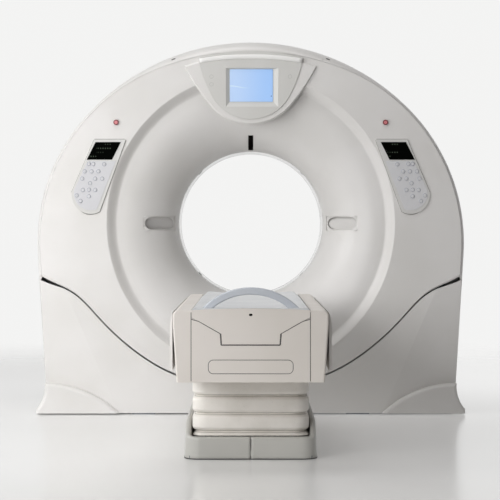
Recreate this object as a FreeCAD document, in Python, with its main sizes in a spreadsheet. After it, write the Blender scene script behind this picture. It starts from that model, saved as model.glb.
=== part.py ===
import FreeCAD, Part

import math
import os
import re

import Sketcher

# A computed-tomography scanner: a tilting gantry with a patient bore on a fixed lower cover, and a patient couch
# on a telescopic column. Millimetres, +Z up, +X to the right of someone who stands at the couch's foot and looks
# along +Y into the bore. The origin is on the floor, under the isocentre.

SIZES = {
    # isocentre and outline of the gantry
    "iso_height": 1000.0,
    "arch_height": 1957.0,
    "arch_half_width": 1127.0,
    "shoulder_height": 897.0,
    "side_radius": 1004.0,
    "side_lean": 3.4,
    "cover_bottom": 6.0,
    "gantry_half_depth": 450.0,
    "rounding_depth": 150.0,
    "rounding_top": 58.0,
    "rounding_side": 24.0,
    # moulded covers
    "cover_wall": 6.0,
    "cover_joint": 0.8,
    "seat_gap": 0.3,
    "rim_split_angle": 23.8,
    "feet_radius": 572.0,
    "feet_rise": 163.0,
    "feet_reach": 1078.0,
    "feet_flare": 42.0,
    "feet_proud": 26.0,
    "feet_round": 22.0,
    "feet_heel": 24.0,
    "feet_waist_place": 15.0,
    "feet_waist_height": 73.0,
    "crease_top": 965.0,
    "crease_bottom": 690.0,
    "crease_turn": 6.0,
    # surface between the tilting and the fixed covers: its radius about the tilt axis, along the axis
    "tilt_gap": 9.0,
    "seam_middle": 955.0,
    "seam_place_a": 410.0,
    "seam_radius_a": 900.0,
    "seam_place_b": 600.0,
    "seam_radius_b": 805.0,
    "seam_place_c": 790.0,
    "seam_radius_c": 668.0,
    "seam_place_d": 917.0,
    "seam_radius_d": 578.0,
    "seam_place_e": 1045.0,
    "seam_radius_e": 538.0,
    "seam_place_end": 1170.0,
    "seam_radius_end": 492.0,
    # bore, bell mouths and the shallow dish around the front one
    "bore_radius": 388.0,
    "bell_radius": 300.0,
    "dish_depth": 38.0,
    "rim_half_width": 733.0,
    "rim_half_height": 759.0,
    "rim_step": 60.0,
    "bore_back": 250.0,
    "window_wall": 3.5,
    "window_tab_width": 22.0,
    "window_tab_depth": 5.0,
    "window_tab_length": 16.0,
    # laser windows
    "slot_width": 26.0,
    "slot_low": 394.0,
    "slot_high": 466.0,
    "pocket_inner": 405.0,
    "pocket_outer": 565.0,
    "pocket_height": 76.0,
    "pocket_depth": 40.0,
    "pocket_round": 18.0,
    "lens_height": 34.0,
    "lens_width": 24.0,
    "lens_thick": 4.0,
    # display at the top of the front cover
    "shield_bottom": 1543.0,
    "shield_corner_place": 201.0,
    "shield_corner_height": 1662.0,
    "shield_top_place": 274.0,
    "shield_top": 1862.0,
    "shield_proud": 15.0,
    "surround_bottom": 1515.0,
    "surround_corner_place": 212.0,
    "surround_corner_height": 1614.0,
    "surround_top_place": 346.0,
    "surround_top": 1822.0,
    "surround_proud": 11.0,
    "surround_chamfer": 8.0,
    "screen_left": 109.0,
    "screen_right": 115.0,
    "screen_low": 1635.0,
    "screen_high": 1804.0,
    "screen_recess": 12.0,
    "screen_thick": 4.0,
    "recess_left": 130.0,
    "recess_right": 143.0,
    "recess_low": 1608.0,
    "recess_high": 1811.0,
    # control panels, right-hand one
    "panel_proud": 6.0,
    "panel_top": 1438.0,
    "panel_top_inner": 652.0,
    "panel_top_outer": 818.0,
    "panel_low_outer": 937.0,
    "panel_low_outer_height": 1160.0,
    "panel_low_middle": 878.0,
    "panel_low_middle_height": 1058.0,
    "panel_low_inner": 790.0,
    "panel_low_inner_height": 1060.0,
    "readout_top": 1424.0,
    "readout_low": 1332.0,
    "readout_top_inner": 679.0,
    "readout_top_outer": 811.0,
    "readout_lean": 46.0,
    "readout_thick": 2.0,
    "mat_thick": 1.0,
    "mat_margin": 14.0,
    "key_radius": 8.0,
    "key_proud": 3.0,
    # stop buttons
    "stop_place": 704.0,
    "stop_height": 1527.0,
    "stop_radius": 14.0,
    "stop_clearance": 0.3,
    "stop_travel": 4.0,
    "stop_proud": 9.0,
    # fixed steel frame of the gantry
    "plate_thick": 12.0,
    "plate_half_depth": 340.0,
    "tongue_width": 120.0,
    "tongue_place": 560.0,
    "anchor_place": 1000.0,
    "anchor_depth": 300.0,
    "anchor_radius": 9.0,
    "cross_depth_near": 245.0,
    "cross_depth_far": 300.0,
    "cross_height": 55.0,
    "pad_height": 60.0,
    "stanchion_inner": 950.0,
    "stanchion_outer": 1050.0,
    "stanchion_half_depth": 120.0,
    "stanchion_above_axis": 130.0,
    "tilt_bearing_radius": 90.0,
    "trunnion_radius": 55.0,
    "running_clearance": 0.05,
    "gearmotor_radius": 110.0,
    "gearmotor_thick": 42.0,
    # tilting frame
    "ring_plate_inner": 430.0,
    "ring_plate_outer": 890.0,
    "ring_plate_front": 268.0,
    "ring_plate_thick": 32.0,
    "arm_inner": 893.0,
    "arm_outer": 930.0,
    "arm_half_height": 110.0,
    "arm_front": 70.0,
    "rail_inner": 884.0,
    "rail_outer": 936.0,
    "rail_width": 60.0,
    "rail_upper_angle": 50.0,
    "rail_lower_angle": 110.0,
    # rotor
    "drum_inner": 425.0,
    "drum_outer": 870.0,
    "drum_front": 200.0,
    "drum_back": 226.0,
    "drum_web": 24.0,
    "drum_rim": 16.0,
    "drum_hub": 18.0,
    "bearing_inner_radius": 520.0,
    "bearing_race_radius": 570.0,
    "bearing_outer_radius": 620.0,
    "bearing_front": 232.0,
    "bearing_clearance": 0.3,
    "stator_inner": 700.0,
    "stator_outer": 750.0,
    "magnet_outer": 699.0,
    "magnet_inner": 668.0,
    "drive_front": 236.0,
    "slip_inner": 440.0,
    "slip_outer": 500.0,
    "slip_back": 262.0,
    "tube_place": 690.0,
    "tube_radius": 105.0,
    "tube_front": 170.0,
    "collimator_width": 190.0,
    "collimator_low": 480.0,
    "collimator_high": 570.0,
    "collimator_front": 70.0,
    "exchanger_angle": 42.0,
    "exchanger_width": 230.0,
    "exchanger_low": 600.0,
    "exchanger_high": 815.0,
    "exchanger_front": 140.0,
    "generator_angle": 292.0,
    "generator_width": 330.0,
    "generator_low": 560.0,
    "generator_high": 800.0,
    "generator_front": 150.0,
    "detector_inner": 620.0,
    "detector_outer": 720.0,
    "detector_half_angle": 28.0,
    "detector_front": 110.0,
    "data_outer": 830.0,
    "data_half_angle": 20.0,
    "data_front": 60.0,
    # couch: column, plinth and bellows
    "column_centre": 1750.0,
    "column_half_width": 170.0,
    "column_half_depth": 220.0,
    "column_wall": 10.0,
    "column_base_top": 375.0,
    "column_middle_low": 130.0,
    "column_middle_top": 470.0,
    "column_top_low": 245.0,
    "couch_plate_thick": 15.0,
    "couch_plate_half_width": 258.0,
    "couch_plate_half_depth": 640.0,
    "couch_anchor_place": 215.0,
    "couch_anchor_depth": 590.0,
    "hole_overrun": 10.0,
    "plinth_half_width": 280.0,
    "plinth_half_depth": 660.0,
    "plinth_round": 90.0,
    "plinth_height": 95.0,
    "plinth_wall": 4.0,
    "plinth_bottom": 3.0,
    "plinth_flare": 12.0,
    "fairing_inner": 256.0,
    "fairing_outer": 294.0,
    "fairing_tip": 140.0,
    "fairing_top": 166.0,
    "fairing_half_length": 540.0,
    "fairing_step_drop": 14.0,
    "fairing_step": 8.0,
    "fairing_crown": 22.0,
    "fairing_crown_drop": 6.0,
    "fairing_end_chamfer": 5.0,
    "clip_width": 16.0,
    "clip_height": 9.0,
    "clip_proud": 4.0,
    "clip_left": 27.0,
    "clip_right": 55.0,
    "bellows_half_width": 247.0,
    "bellows_half_depth": 610.0,
    "bellows_low": 96.0,
    "bellows_fold": 20.0,
    "bellows_pitch": 75.5,
    "bellows_first_fold": 112.0,
    "bellows_wall": 6.0,
    "bellows_round": 24.0,
    # couch: lifting part
    "couch_near": 2750.0,
    "couch_far": 760.0,
    "couch_bottom": 351.0,
    "couch_side_top": 640.0,
    "couch_side_inner": 239.0,
    "couch_side_outer": 313.0,
    "couch_side_low_outer": 297.0,
    "couch_side_round": 22.0,
    "couch_end_round": 8.0,
    "couch_wall": 5.0,
    "end_thick": 12.0,
    "flap_side_height": 612.0,
    "flap_shelf_place": 209.0,
    "flap_shelf_height": 596.0,
    "flap_inner_place": 121.0,
    "flap_inner_height": 546.0,
    "flap_low_place": 118.0,
    "flap_low": 501.0,
    "flap_gap": 1.6,
    "service_half_width": 170.0,
    "service_low": 386.0,
    "service_high": 441.0,
    "service_round": 20.0,
    "service_recess": 3.0,
    "frame_web_inner": 198.0,
    "frame_web_outer": 236.0,
    "frame_low": 400.0,
    "frame_deck_low": 585.0,
    "frame_deck_high": 595.0,
    "rail_half_width": 8.0,
    "rail_place": 218.0,
    "rail_top": 596.0,
    "tabletop_travel": 240.0,
    "travel_clearance": 12.0,
    "bumper_gap": 3.0,
    "bumper_outer": 327.0,
    "bumper_low": 395.0,
    "bumper_shoulder": 587.0,
    "bumper_top": 630.0,
    "bumper_thick": 10.0,
    "bumper_near": 2690.0,
    "bumper_far": 900.0,
    "spacer_radius": 12.0,
    "spacer_drop": 40.0,
    "post_radius": 12.0,
    "post_margin": 60.0,
    "column_clearance": 12.0,
    "motor_half_width": 70.0,
    "motor_length": 200.0,
    "motor_low": 480.0,
    # couch: tabletop
    "tabletop_far": 600.0,
    "tabletop_half_width": 235.0,
    "tabletop_far_half_width": 224.0,
    "tabletop_low": 612.0,
    "tabletop_high": 648.0,
    "tabletop_hollow": 10.0,
    "tabletop_hollow_half_width": 205.0,
    "tabletop_edge_round": 9.0,
    "tabletop_hollow_start": 120.0,
    "runner_stop": 200.0,
    "socket_place": 100.0,
    "socket_set_back": 45.0,
    "socket_radius": 8.0,
    "handle_radius": 271.0,
    "handle_band": 30.0,
    "handle_crown": 731.0,
    "handle_thick": 26.0,
    "handle_place": 2700.0,
    "handle_round": 6.0,
}

ROUNDING_STEPS = 4
DISH_BELL_STEPS = 9
DISH_STEP_STEPS = 12
CUTTER_REACH = 1400.0
OVERRUN = 20.0

# Keys of the right-hand keypad: distance from the isocentre to the right and above it.
KEYS = [
    (766.0, 308.0),
    (823.0, 310.0),
    (846.0, 310.0),
    (796.0, 271.0),
    (832.0, 271.0),
    (868.0, 271.0),
    (777.0, 233.0),
    (813.0, 233.0),
    (881.0, 233.0),
    (840.0, 209.0),
    (813.0, 174.0),
    (846.0, 175.0),
    (877.0, 174.0),
    (846.0, 141.0),
    (910.0, 145.0),
    (890.0, 116.0),
]

doc = FreeCAD.newDocument("Scanner")
sheet = doc.addObject("Spreadsheet::Sheet", "Sizes")
for row, (alias, amount) in enumerate(SIZES.items(), start=1):
    sheet.set(f"A{row}", alias)
    sheet.set(f"B{row}", str(amount))
    sheet.setAlias(f"B{row}", alias)
doc.recompute()

nodes = []


# ---- words of the sheet --------------------------------------------------------------------------


def bound(words):
    """An expression with each size's name written as the sheet's cell."""
    return re.sub(r"[a-z_]+", lambda found: cell(found.group()), str(words))


def cell(word):
    """The sheet's cell for a size's name, or the word itself where it names no size."""
    return f"Sizes.{word}" if word in SIZES else word


def size(words):
    """The number that an expression of the sheet's sizes gives."""
    value = sheet.evalExpression(bound(words))
    return float(value)


def vector(x, y, z):
    return FreeCAD.Vector(x, y, z)


def keep(item, label):
    """Give a sub-part its name, which is also its file's name."""
    item.Label = label
    nodes.append(item)
    return item


# ---- primitives and booleans whose sizes are bound to the sheet ----------------------------------


def place(item, at):
    """Bind an object's position to three expressions."""
    for axis, words in zip("xyz", at):
        item.setExpression(f"Placement.Base.{axis}", bound(words))


def box(name, low, extent):
    """A box from its lowest corner and its three extents."""
    item = doc.addObject("Part::Box", name)
    for key, words in zip(("Length", "Width", "Height"), extent):
        item.setExpression(key, bound(words))
    place(item, low)
    return item


TURNS = {
    "x": FreeCAD.Rotation(vector(0, 1, 0), 90),
    "y": FreeCAD.Rotation(vector(1, 0, 0), -90),
    "z": FreeCAD.Rotation(),
}


def cylinder(name, axis, start, radius, length):
    """A cylinder that runs from its start along +X, +Y or +Z."""
    item = doc.addObject("Part::Cylinder", name)
    item.Placement = FreeCAD.Placement(vector(0, 0, 0), TURNS[axis])
    item.setExpression("Radius", bound(radius))
    item.setExpression("Height", bound(length))
    place(item, start)
    return item


def cut(name, base, tool):
    item = doc.addObject("Part::Cut", name)
    item.Base = base
    item.Tool = tool
    return item


def fuse(name, shapes):
    item = doc.addObject("Part::MultiFuse", name)
    item.Shapes = shapes
    item.Refine = True
    return item


def tube(name, axis, start, inner, outer, length):
    """A round tube along an axis."""
    wall = cylinder(f"{name}Wall", axis, start, outer, length)
    hole = cylinder(f"{name}Hole", axis, start, inner, length)
    return cut(name, wall, hole)


def solid(name, shape):
    """A sub-part whose shape is worked out by this script from the sheet's sizes."""
    item = doc.addObject("Part::Feature", name)
    item.Shape = shape
    item.Placement = FreeCAD.Placement()
    return item


# ---- bodies made of a sketch and a feature -------------------------------------------------------


def sketch_on(body, role, corners, offset):
    """A closed outline of straight lines on one of the body's own planes, each corner bound to the sheet."""
    plane = next(item for item in body.Origin.OriginFeatures if item.Role == role)
    sketch = body.newObject("Sketcher::SketchObject", f"{body.Name}Sketch")
    sketch.AttachmentSupport = [(plane, "")]
    sketch.MapMode = "FlatFace"
    points = [(size(across), size(up)) for across, up in corners]
    for index, start in enumerate(points):
        end = points[(index + 1) % len(points)]
        sketch.addGeometry(Part.LineSegment(vector(*start, 0), vector(*end, 0)))
    for index in range(len(points)):
        sketch.addConstraint(Sketcher.Constraint("Coincident", index, 2, (index + 1) % len(points), 1))
    for index, (words, values) in enumerate(zip(corners, points)):
        for kind, text, value in zip(("DistanceX", "DistanceY"), words, values):
            number = sketch.addConstraint(Sketcher.Constraint(kind, -1, 1, index, 1, value))
            sketch.setExpression(f"Constraints[{number}]", bound(text))
    sketch.setExpression("AttachmentOffset.Base.z", bound(offset))
    return sketch


def prism(name, role, corners, start, length):
    """A body padded along +X, +Y or +Z from its outline on the plane square to that axis."""
    body = doc.addObject("PartDesign::Body", name)
    towards_minus = role == "XZ_Plane"
    offset = f"-({start})" if towards_minus else start
    pad = body.newObject("PartDesign::Pad", f"{name}Pad")
    pad.Profile = sketch_on(body, role, corners, offset)
    pad.setExpression("Length", bound(length))
    pad.Reversed = towards_minus
    return body


def turned(name, corners, height):
    """A body turned about the bore's axis: each corner is a place along the bore and a radius."""
    body = doc.addObject("PartDesign::Body", name)
    sketch = sketch_on(body, "YZ_Plane", corners, "0")
    feature = body.newObject("PartDesign::Revolution", f"{name}Turn")
    feature.Profile = sketch
    feature.ReferenceAxis = (sketch, ["H_Axis"])
    feature.Angle = 360
    body.setExpression("Placement.Base.z", bound(height))
    return body


def swing(body, angle):
    """Turn a body that was drawn above the bore's axis about that axis, by a clockwise angle from the top."""
    body.Placement = FreeCAD.Placement(vector(0, 0, 0), FreeCAD.Rotation(vector(0, 1, 0), 0))
    body.setExpression("Placement.Rotation.Angle", bound(angle))
    body.setExpression("Placement.Base.z", bound("iso_height"))
    return body


def along(edge, axis):
    """Whether an edge is a straight line along X, Y or Z."""
    if len(edge.Vertexes) != 2 or not isinstance(edge.Curve, Part.Line):
        return False
    direction = edge.Vertexes[1].Point - edge.Vertexes[0].Point
    return abs(getattr(direction.normalize(), axis)) > 0.999


# ---- outline of the gantry -----------------------------------------------------------------------


def arch_wire(depth, inset_top, inset_side, bottom):
    """The gantry's outline at one depth: leaning sides, round shoulders and a flatter top arc, all tangent."""
    half_width = size("arch_half_width") - inset_side
    top = size("arch_height") - inset_top
    shoulder = size("shoulder_height")
    radius = size("side_radius") - inset_side
    lean = math.radians(size("side_lean"))
    centre = half_width - radius
    above = top - radius
    top_centre = (centre**2 + shoulder**2 - above**2) / (2 * (shoulder - above))
    top_radius = top - top_centre
    meet = math.atan2(shoulder - top_centre, centre)

    def on_side(angle):
        return centre + radius * math.cos(angle), shoulder + radius * math.sin(angle)

    def on_top(angle):
        return top_radius * math.cos(angle), top_centre + top_radius * math.sin(angle)

    side_end = on_side(meet)
    side_start = on_side(-lean)
    foot = side_start[0] - (side_start[1] - bottom) * math.tan(lean), bottom
    side_middle = on_side((meet - lean) / 2)
    top_middle = on_top(math.pi / 2)

    def right(point):
        return vector(point[0], depth, point[1])

    def left(point):
        return vector(-point[0], depth, point[1])

    edges = [
        Part.LineSegment(right(foot), right(side_start)).toShape(),
        Part.Arc(right(side_start), right(side_middle), right(side_end)).toShape(),
        Part.Arc(right(side_end), right(top_middle), left(side_end)).toShape(),
        Part.Arc(left(side_end), left(side_middle), left(side_start)).toShape(),
        Part.LineSegment(left(side_start), left(foot)).toShape(),
        Part.LineSegment(left(foot), right(foot)).toShape(),
    ]
    return Part.Wire(edges)


def arch_prism(front, back, inset_top, inset_side, bottom):
    """A straight-sided block with the gantry's outline."""
    face = Part.Face(arch_wire(front, inset_top, inset_side, bottom))
    return outward(face.extrude(vector(0, back - front, 0)))


def rounding_loft(wall, bottom, side):
    """The front (-1) or back (+1) rounding: the outline shrinks along a quarter of an ellipse."""
    half_depth = size("gantry_half_depth")
    depth = size("rounding_depth")
    wires = []
    for step in range(ROUNDING_STEPS + 1):
        angle = math.radians(90 * step / ROUNDING_STEPS)
        shrink = 1 - math.sin(angle)
        place_along = half_depth - wall - (depth - wall) * (1 - math.cos(angle))
        inset_top = wall + size("rounding_top") * shrink
        inset_side = wall + size("rounding_side") * shrink
        wires.append(arch_wire(side * place_along, inset_top, inset_side, bottom))
    return outward(Part.makeLoft(wires, True, False))


def gantry_block(wall, bottom):
    """The gantry's whole outer form, or with a wall's thickness the space inside it."""
    straight = size("gantry_half_depth") - size("rounding_depth")
    middle = arch_prism(-straight, straight, wall, wall, bottom)
    front = rounding_loft(wall, bottom, -1)
    back = rounding_loft(wall, bottom, 1)
    return middle.fuse([front, back])


def ellipse_wire(place_along, half_width, half_height):
    """A circle or an upright or lying ellipse about the bore's axis, starting on the right."""
    centre = vector(0, place_along, size("iso_height"))
    if abs(half_width - half_height) < 1e-6:
        curve = Part.Circle(centre, vector(0, -1, 0), half_width)
        return Part.Wire(curve.toShape())
    long_tip = centre + vector(0, 0, half_height)
    side_tip = centre + vector(half_width, 0, 0)
    curve = Part.Ellipse(long_tip, side_tip, centre)
    return Part.Wire(curve.toShape())


def turned_space(edges):
    """A space turned about the bore's axis from an outline above it, with its parting line at the bottom."""
    axis_point = vector(0, 0, size("iso_height"))
    space = Part.Face(Part.Wire(edges)).revolve(axis_point, vector(0, 1, 0), 360)
    space.rotate(axis_point, vector(0, 1, 0), 180)
    return outward(space)


def front_mouth(wall):
    """The space in front of the bell mouth and the dish, or with a wall's thickness the space its wall bounds."""
    iso = size("iso_height")
    bell = size("bell_radius")
    bore = size("bore_radius")
    bell_centre = bore + bell
    flat = -(size("gantry_half_depth") - size("dish_depth"))
    corner = flat + bell
    overlap = size("rim_half_width") - size("rim_step") / 2 - 6
    halfway = (bell - wall) * math.sqrt(0.5)
    arc_edge = Part.Arc(
        vector(0, corner, iso + bore + wall),
        vector(0, corner - halfway, iso + bell_centre - halfway),
        vector(0, flat + wall, iso + bell_centre),
    )
    front = flat - 2 * size("dish_depth")
    corners = [
        vector(0, flat + wall, iso + bell_centre),
        vector(0, flat + wall, iso + overlap),
        vector(0, front, iso + overlap),
        vector(0, front, iso),
        vector(0, corner, iso),
        vector(0, corner, iso + bore + wall),
    ]
    edges = [arc_edge.toShape()]
    edges += [Part.LineSegment(start, end).toShape() for start, end in zip(corners, corners[1:])]
    return turned_space(edges)


def rim_step_block(wall):
    """The dish's rim: a stack of ellipses whose radius and depth follow half a cosine wave."""
    flat = -(size("gantry_half_depth") - size("dish_depth"))
    step = size("rim_step")
    rise = size("dish_depth") + 2
    wires = []
    for number in range(DISH_STEP_STEPS + 1):
        share = number / DISH_STEP_STEPS
        out = step * (share - 0.5) + wall
        place_along = flat + wall - rise * (1 - math.cos(math.pi * share)) / 2
        wires.append(ellipse_wire(place_along, size("rim_half_width") + out, size("rim_half_height") + out))
    clear = 4 * size("dish_depth")
    wires.append(ellipse_wire(flat - clear, size("rim_half_width") + out, size("rim_half_height") + out))
    return outward(Part.makeLoft(wires, True, True))


def back_mouth(wall):
    """The space in the bell mouth at the back, or with a wall's thickness the space its wall bounds."""
    iso = size("iso_height")
    bore = size("bore_radius")
    back = size("gantry_half_depth")
    bell = back - size("bore_back")
    centre = vector(0, size("bore_back"), iso + bore + bell)
    radius = bell - wall
    half = math.sin(math.pi / 4) * radius
    arc_edge = Part.Arc(
        centre + vector(0, 0, -radius),
        centre + vector(0, half, -half),
        centre + vector(0, radius, 0),
    )
    corners = [
        centre + vector(0, radius, 0),
        centre + vector(0, bell + OVERRUN, 0),
        vector(0, back + OVERRUN, iso),
        vector(0, size("bore_back"), iso),
        centre + vector(0, 0, -radius),
    ]
    edges = [arc_edge.toShape()]
    edges += [Part.LineSegment(start, end).toShape() for start, end in zip(corners, corners[1:])]
    return turned_space(edges)


def bore_core(radius):
    """The straight middle of the bore."""
    front = bore_front()
    length = size("bore_back") - front
    return Part.makeCylinder(radius, length, vector(0, front, size("iso_height")), vector(0, 1, 0))


def bore_front():
    return -(size("gantry_half_depth") - size("dish_depth") - size("bell_radius"))


def bell_place(radius):
    """Where the front bell mouth's surface lies along the bore at a radius."""
    bell = size("bell_radius")
    share = (size("bore_radius") + bell - radius) / bell
    return bore_front() - bell * math.sqrt(max(0.0, 1 - share**2))


def laser_pocket(wall, side):
    """The recess of a side laser: its floor sinks away from the bore towards a wall that holds the window."""
    iso = size("iso_height")
    outer = size("pocket_outer")
    inner = size("pocket_inner")
    floor = bell_place(outer) + size("pocket_depth")
    floor_inner = bell_place(inner) + OVERRUN / 2
    half = size("pocket_height") / 2 + wall
    front = -(size("gantry_half_depth") + OVERRUN)
    corners = [
        (inner - wall, front),
        (inner - wall, floor_inner + wall),
        (outer + wall, floor + wall),
        (outer + wall, front),
    ]
    points = [vector(side * across, deep, iso - half) for across, deep in corners]
    outline = Part.makePolygon(points + points[:1])
    block = outward(Part.Face(outline).extrude(vector(0, 0, 2 * half)))
    ends = [
        edge
        for edge in block.Edges
        if along(edge, "y") and abs(abs(edge.CenterOfMass.x) - outer - wall) < 1e-3
    ]
    return block.makeFillet(size("pocket_round") + wall, ends)


def seam_block(gap):
    """Everything inside the surface of revolution about the tilt axis that parts the covers."""
    iso = size("iso_height")
    radii = {0.0: size("seam_middle")}
    for letter in ("a", "b", "c", "d", "e", "end"):
        radii[size(f"seam_place_{letter}")] = size(f"seam_radius_{letter}")
    right = sorted(radii.items())
    whole = [(-across, radius) for across, radius in reversed(right[1:])] + right
    points = [vector(across, 0, iso + radius + gap) for across, radius in whole]
    curve = Part.BSplineCurve()
    curve.interpolate(points)
    reach = points[-1].x
    edges = [
        curve.toShape(),
        Part.LineSegment(points[-1], vector(reach, 0, iso)).toShape(),
        Part.LineSegment(vector(reach, 0, iso), vector(-reach, 0, iso)).toShape(),
        Part.LineSegment(vector(-reach, 0, iso), points[0]).toShape(),
    ]
    return outward(Part.Face(Part.Wire(edges)).revolve(vector(0, 0, iso), vector(1, 0, 0), 360))


def lower_zone(low, high):
    """A box around the gantry's lower half."""
    reach = CUTTER_REACH
    return Part.makeBox(2 * reach, 2 * reach, high - low, vector(-reach, -reach, low))


def radial_wedge(angle, half_gap):
    """A thin wall square to the arch that parts two rim covers, at an angle from the top."""
    wall = Part.makeBox(2 * half_gap, 2 * CUTTER_REACH, CUTTER_REACH, vector(-half_gap, -CUTTER_REACH, 0))
    wall.rotate(vector(0, 0, 0), vector(0, 1, 0), angle)
    wall.translate(vector(0, 0, size("iso_height")))
    return wall


def outward(shape):
    """The same solid with its faces turned outwards, whichever way its outline ran."""
    if shape.Volume < 0:
        shape.reverse()
    return shape


def largest(shape):
    """The largest solid of a shape."""
    return max(shape.Solids, key=lambda piece: piece.Volume)


# ---- covers of the gantry ------------------------------------------------------------------------


def gantry_shell():
    """The hollow housing with its bore, before it is parted into covers."""
    wall = size("cover_wall")
    bottom = size("cover_bottom")
    outside = gantry_block(0, bottom)
    inside = gantry_block(wall, bottom - OVERRUN)
    for side in (-1, 1):
        outside = outside.cut(laser_pocket(0, side))
        inside = inside.cut(laser_pocket(wall, side))
    for space in (rim_step_block, front_mouth, back_mouth):
        outside = outside.cut(space(0))
        inside = inside.cut(space(wall))
    outside = outside.cut(bore_core(size("bore_radius")))
    inside = inside.cut(bore_core(size("bore_radius") + wall))
    return outside.cut(inside)


def crease_wedge(side, wall):
    """What the lower cover's outer corner loses: beyond a slanted crease its face turns towards the side."""
    iso = size("iso_height")
    face = -(size("gantry_half_depth") - wall)
    top_height = iso - math.sqrt(size("seam_radius_d") ** 2 - size("gantry_half_depth") ** 2)
    low = vector(side * size("crease_bottom"), face, 0)
    high = vector(side * size("crease_top"), face, top_height)
    rise = high - low
    rise.normalize()
    turn = FreeCAD.Rotation(rise, side * size("crease_turn"))
    outwards = turn.multVec(rise.cross(vector(0, side, 0)).normalize() * -1)
    if outwards.x * side < 0:
        outwards = outwards * -1
    start = low - rise * CUTTER_REACH
    outline = [
        start,
        start + outwards * CUTTER_REACH,
        start + outwards * CUTTER_REACH - vector(0, CUTTER_REACH, 0),
        start - vector(0, CUTTER_REACH, 0),
    ]
    return Part.Face(Part.makePolygon(outline + outline[:1])).extrude(rise * 3 * CUTTER_REACH)


def foot_block(side):
    """A flared foot: its upper edge is an arc that falls from the side towards the middle."""
    radius = size("feet_radius")
    rise = size("feet_rise")
    reach = size("feet_reach")
    bottom = size("cover_bottom")
    depth = size("gantry_half_depth") + size("feet_proud")
    run = math.sqrt(radius**2 - (radius - rise + bottom) ** 2)
    centre = vector(side * reach, -depth, rise - radius)
    toe = vector(side * (reach - run), -depth, bottom)
    shoulder = vector(side * reach, -depth, rise)
    half_run = run / 2
    middle = vector(
        side * (reach - half_run),
        -depth,
        centre.z + math.sqrt(radius**2 - half_run**2),
    )
    flare = vector(side * (reach + size("feet_flare")), -depth, bottom + size("feet_heel"))
    flare_middle = vector(side * (reach + size("feet_waist_place")), -depth, size("feet_waist_height"))
    heel = vector(flare.x, -depth, bottom)
    edges = [
        Part.Arc(toe, middle, shoulder).toShape(),
        Part.Arc(shoulder, flare_middle, flare).toShape(),
        Part.LineSegment(flare, heel).toShape(),
        Part.LineSegment(heel, toe).toShape(),
    ]
    block = Part.Face(Part.Wire(edges)).extrude(vector(0, 2 * depth, 0))
    fronts = [
        edge
        for edge in block.Edges
        if abs(abs(edge.CenterOfMass.y) - depth) < 1e-3
        and edge.CenterOfMass.z > bottom + 1e-3
        and not isinstance(edge.Curve, Part.Line)
    ]
    return block.makeFillet(size("feet_round"), fronts)


def lower_covers():
    """The fixed lower housing with its two flared feet, front half and back half."""
    wall = size("cover_wall")
    bottom = size("cover_bottom")
    iso = size("iso_height")
    outside = gantry_block(0, bottom)
    for side in (-1, 1):
        outside = outside.cut(crease_wedge(side, 0))
    outside = outside.fuse([foot_block(-1), foot_block(1)])
    inside = gantry_block(wall, bottom - OVERRUN)
    for side in (-1, 1):
        inside = inside.cut(crease_wedge(side, wall))
    housing = outside.cut(inside).common(lower_zone(0, iso))
    housing = housing.cut(seam_block(size("tilt_gap")))
    joint = size("cover_joint") / 2
    halves = []
    for side in (-1, 1):
        edge = joint if side > 0 else -CUTTER_REACH
        zone = Part.makeBox(
            2 * CUTTER_REACH,
            CUTTER_REACH - joint,
            2 * CUTTER_REACH,
            vector(-CUTTER_REACH, edge, -CUTTER_REACH),
        )
        halves.append(housing.common(zone))
    return halves


def slot_box(clearance):
    """The upright slot of the top laser window, above the bore's front edge."""
    half = size("slot_width") / 2 + clearance
    low = size("iso_height") + size("slot_low") - clearance
    high = size("iso_height") + size("slot_high") + clearance
    reach = size("gantry_half_depth")
    return Part.makeBox(2 * half, reach, high - low, vector(-half, -reach, low))


def stop_hole(side):
    """The round hole of a stop button in the front cover."""
    start = vector(side * size("stop_place"), -size("gantry_half_depth") - OVERRUN, size("stop_height"))
    return Part.makeCylinder(size("stop_radius"), 3 * OVERRUN, start, vector(0, 1, 0))


def tilting_covers():
    """Front, back and three rim covers and the top laser window, cut from the hollow housing."""
    iso = size("iso_height")
    joint = size("cover_joint") / 2
    half_depth = size("gantry_half_depth")
    fixed_zone = lower_zone(-OVERRUN, iso).cut(seam_block(0))
    housing = gantry_shell().cut(fixed_zone)
    window_zone = bore_core(size("bore_radius") + size("cover_wall") + 4)
    housing = housing.cut(window_zone)
    parts = {}
    for name, side in (("front_cover", -1), ("rear_cover", 1)):
        front = -half_depth - OVERRUN if side < 0 else OVERRUN
        back = -OVERRUN if side < 0 else half_depth + OVERRUN
        top = size("rounding_top")
        edge = size("rounding_side")
        inner = arch_prism(front, back, top + joint, edge + joint, -OVERRUN)
        outer = arch_prism(front, back, top - joint, edge - joint, -OVERRUN)
        parts[name] = largest(housing.common(inner))
        housing = housing.cut(outer)
    slot = slot_box(0)
    parts["laser_window_top"] = largest(parts["front_cover"].common(slot))
    holes = [slot_box(size("seat_gap")), stop_hole(-1), stop_hole(1)]
    parts["front_cover"] = largest(parts["front_cover"].cut(holes))
    split = size("rim_split_angle")
    rims = housing.cut([radial_wedge(-split, joint), radial_wedge(split, joint)])
    pieces = sorted(rims.Solids, key=lambda piece: piece.Volume)[-3:]
    pieces.sort(key=lambda piece: piece.CenterOfMass.x)
    for name, piece in zip(("rim_cover_left", "rim_cover_top", "rim_cover_right"), pieces):
        parts[name] = piece
    return parts


for cover, shape in tilting_covers().items():
    keep(solid(f"Solid_{cover}", shape), cover)
for cover, shape in zip(("lower_front_cover", "lower_rear_cover"), lower_covers()):
    keep(solid(f"Solid_{cover}", shape), cover)


# ---- scan window, lasers and stop buttons --------------------------------------------------------


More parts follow.
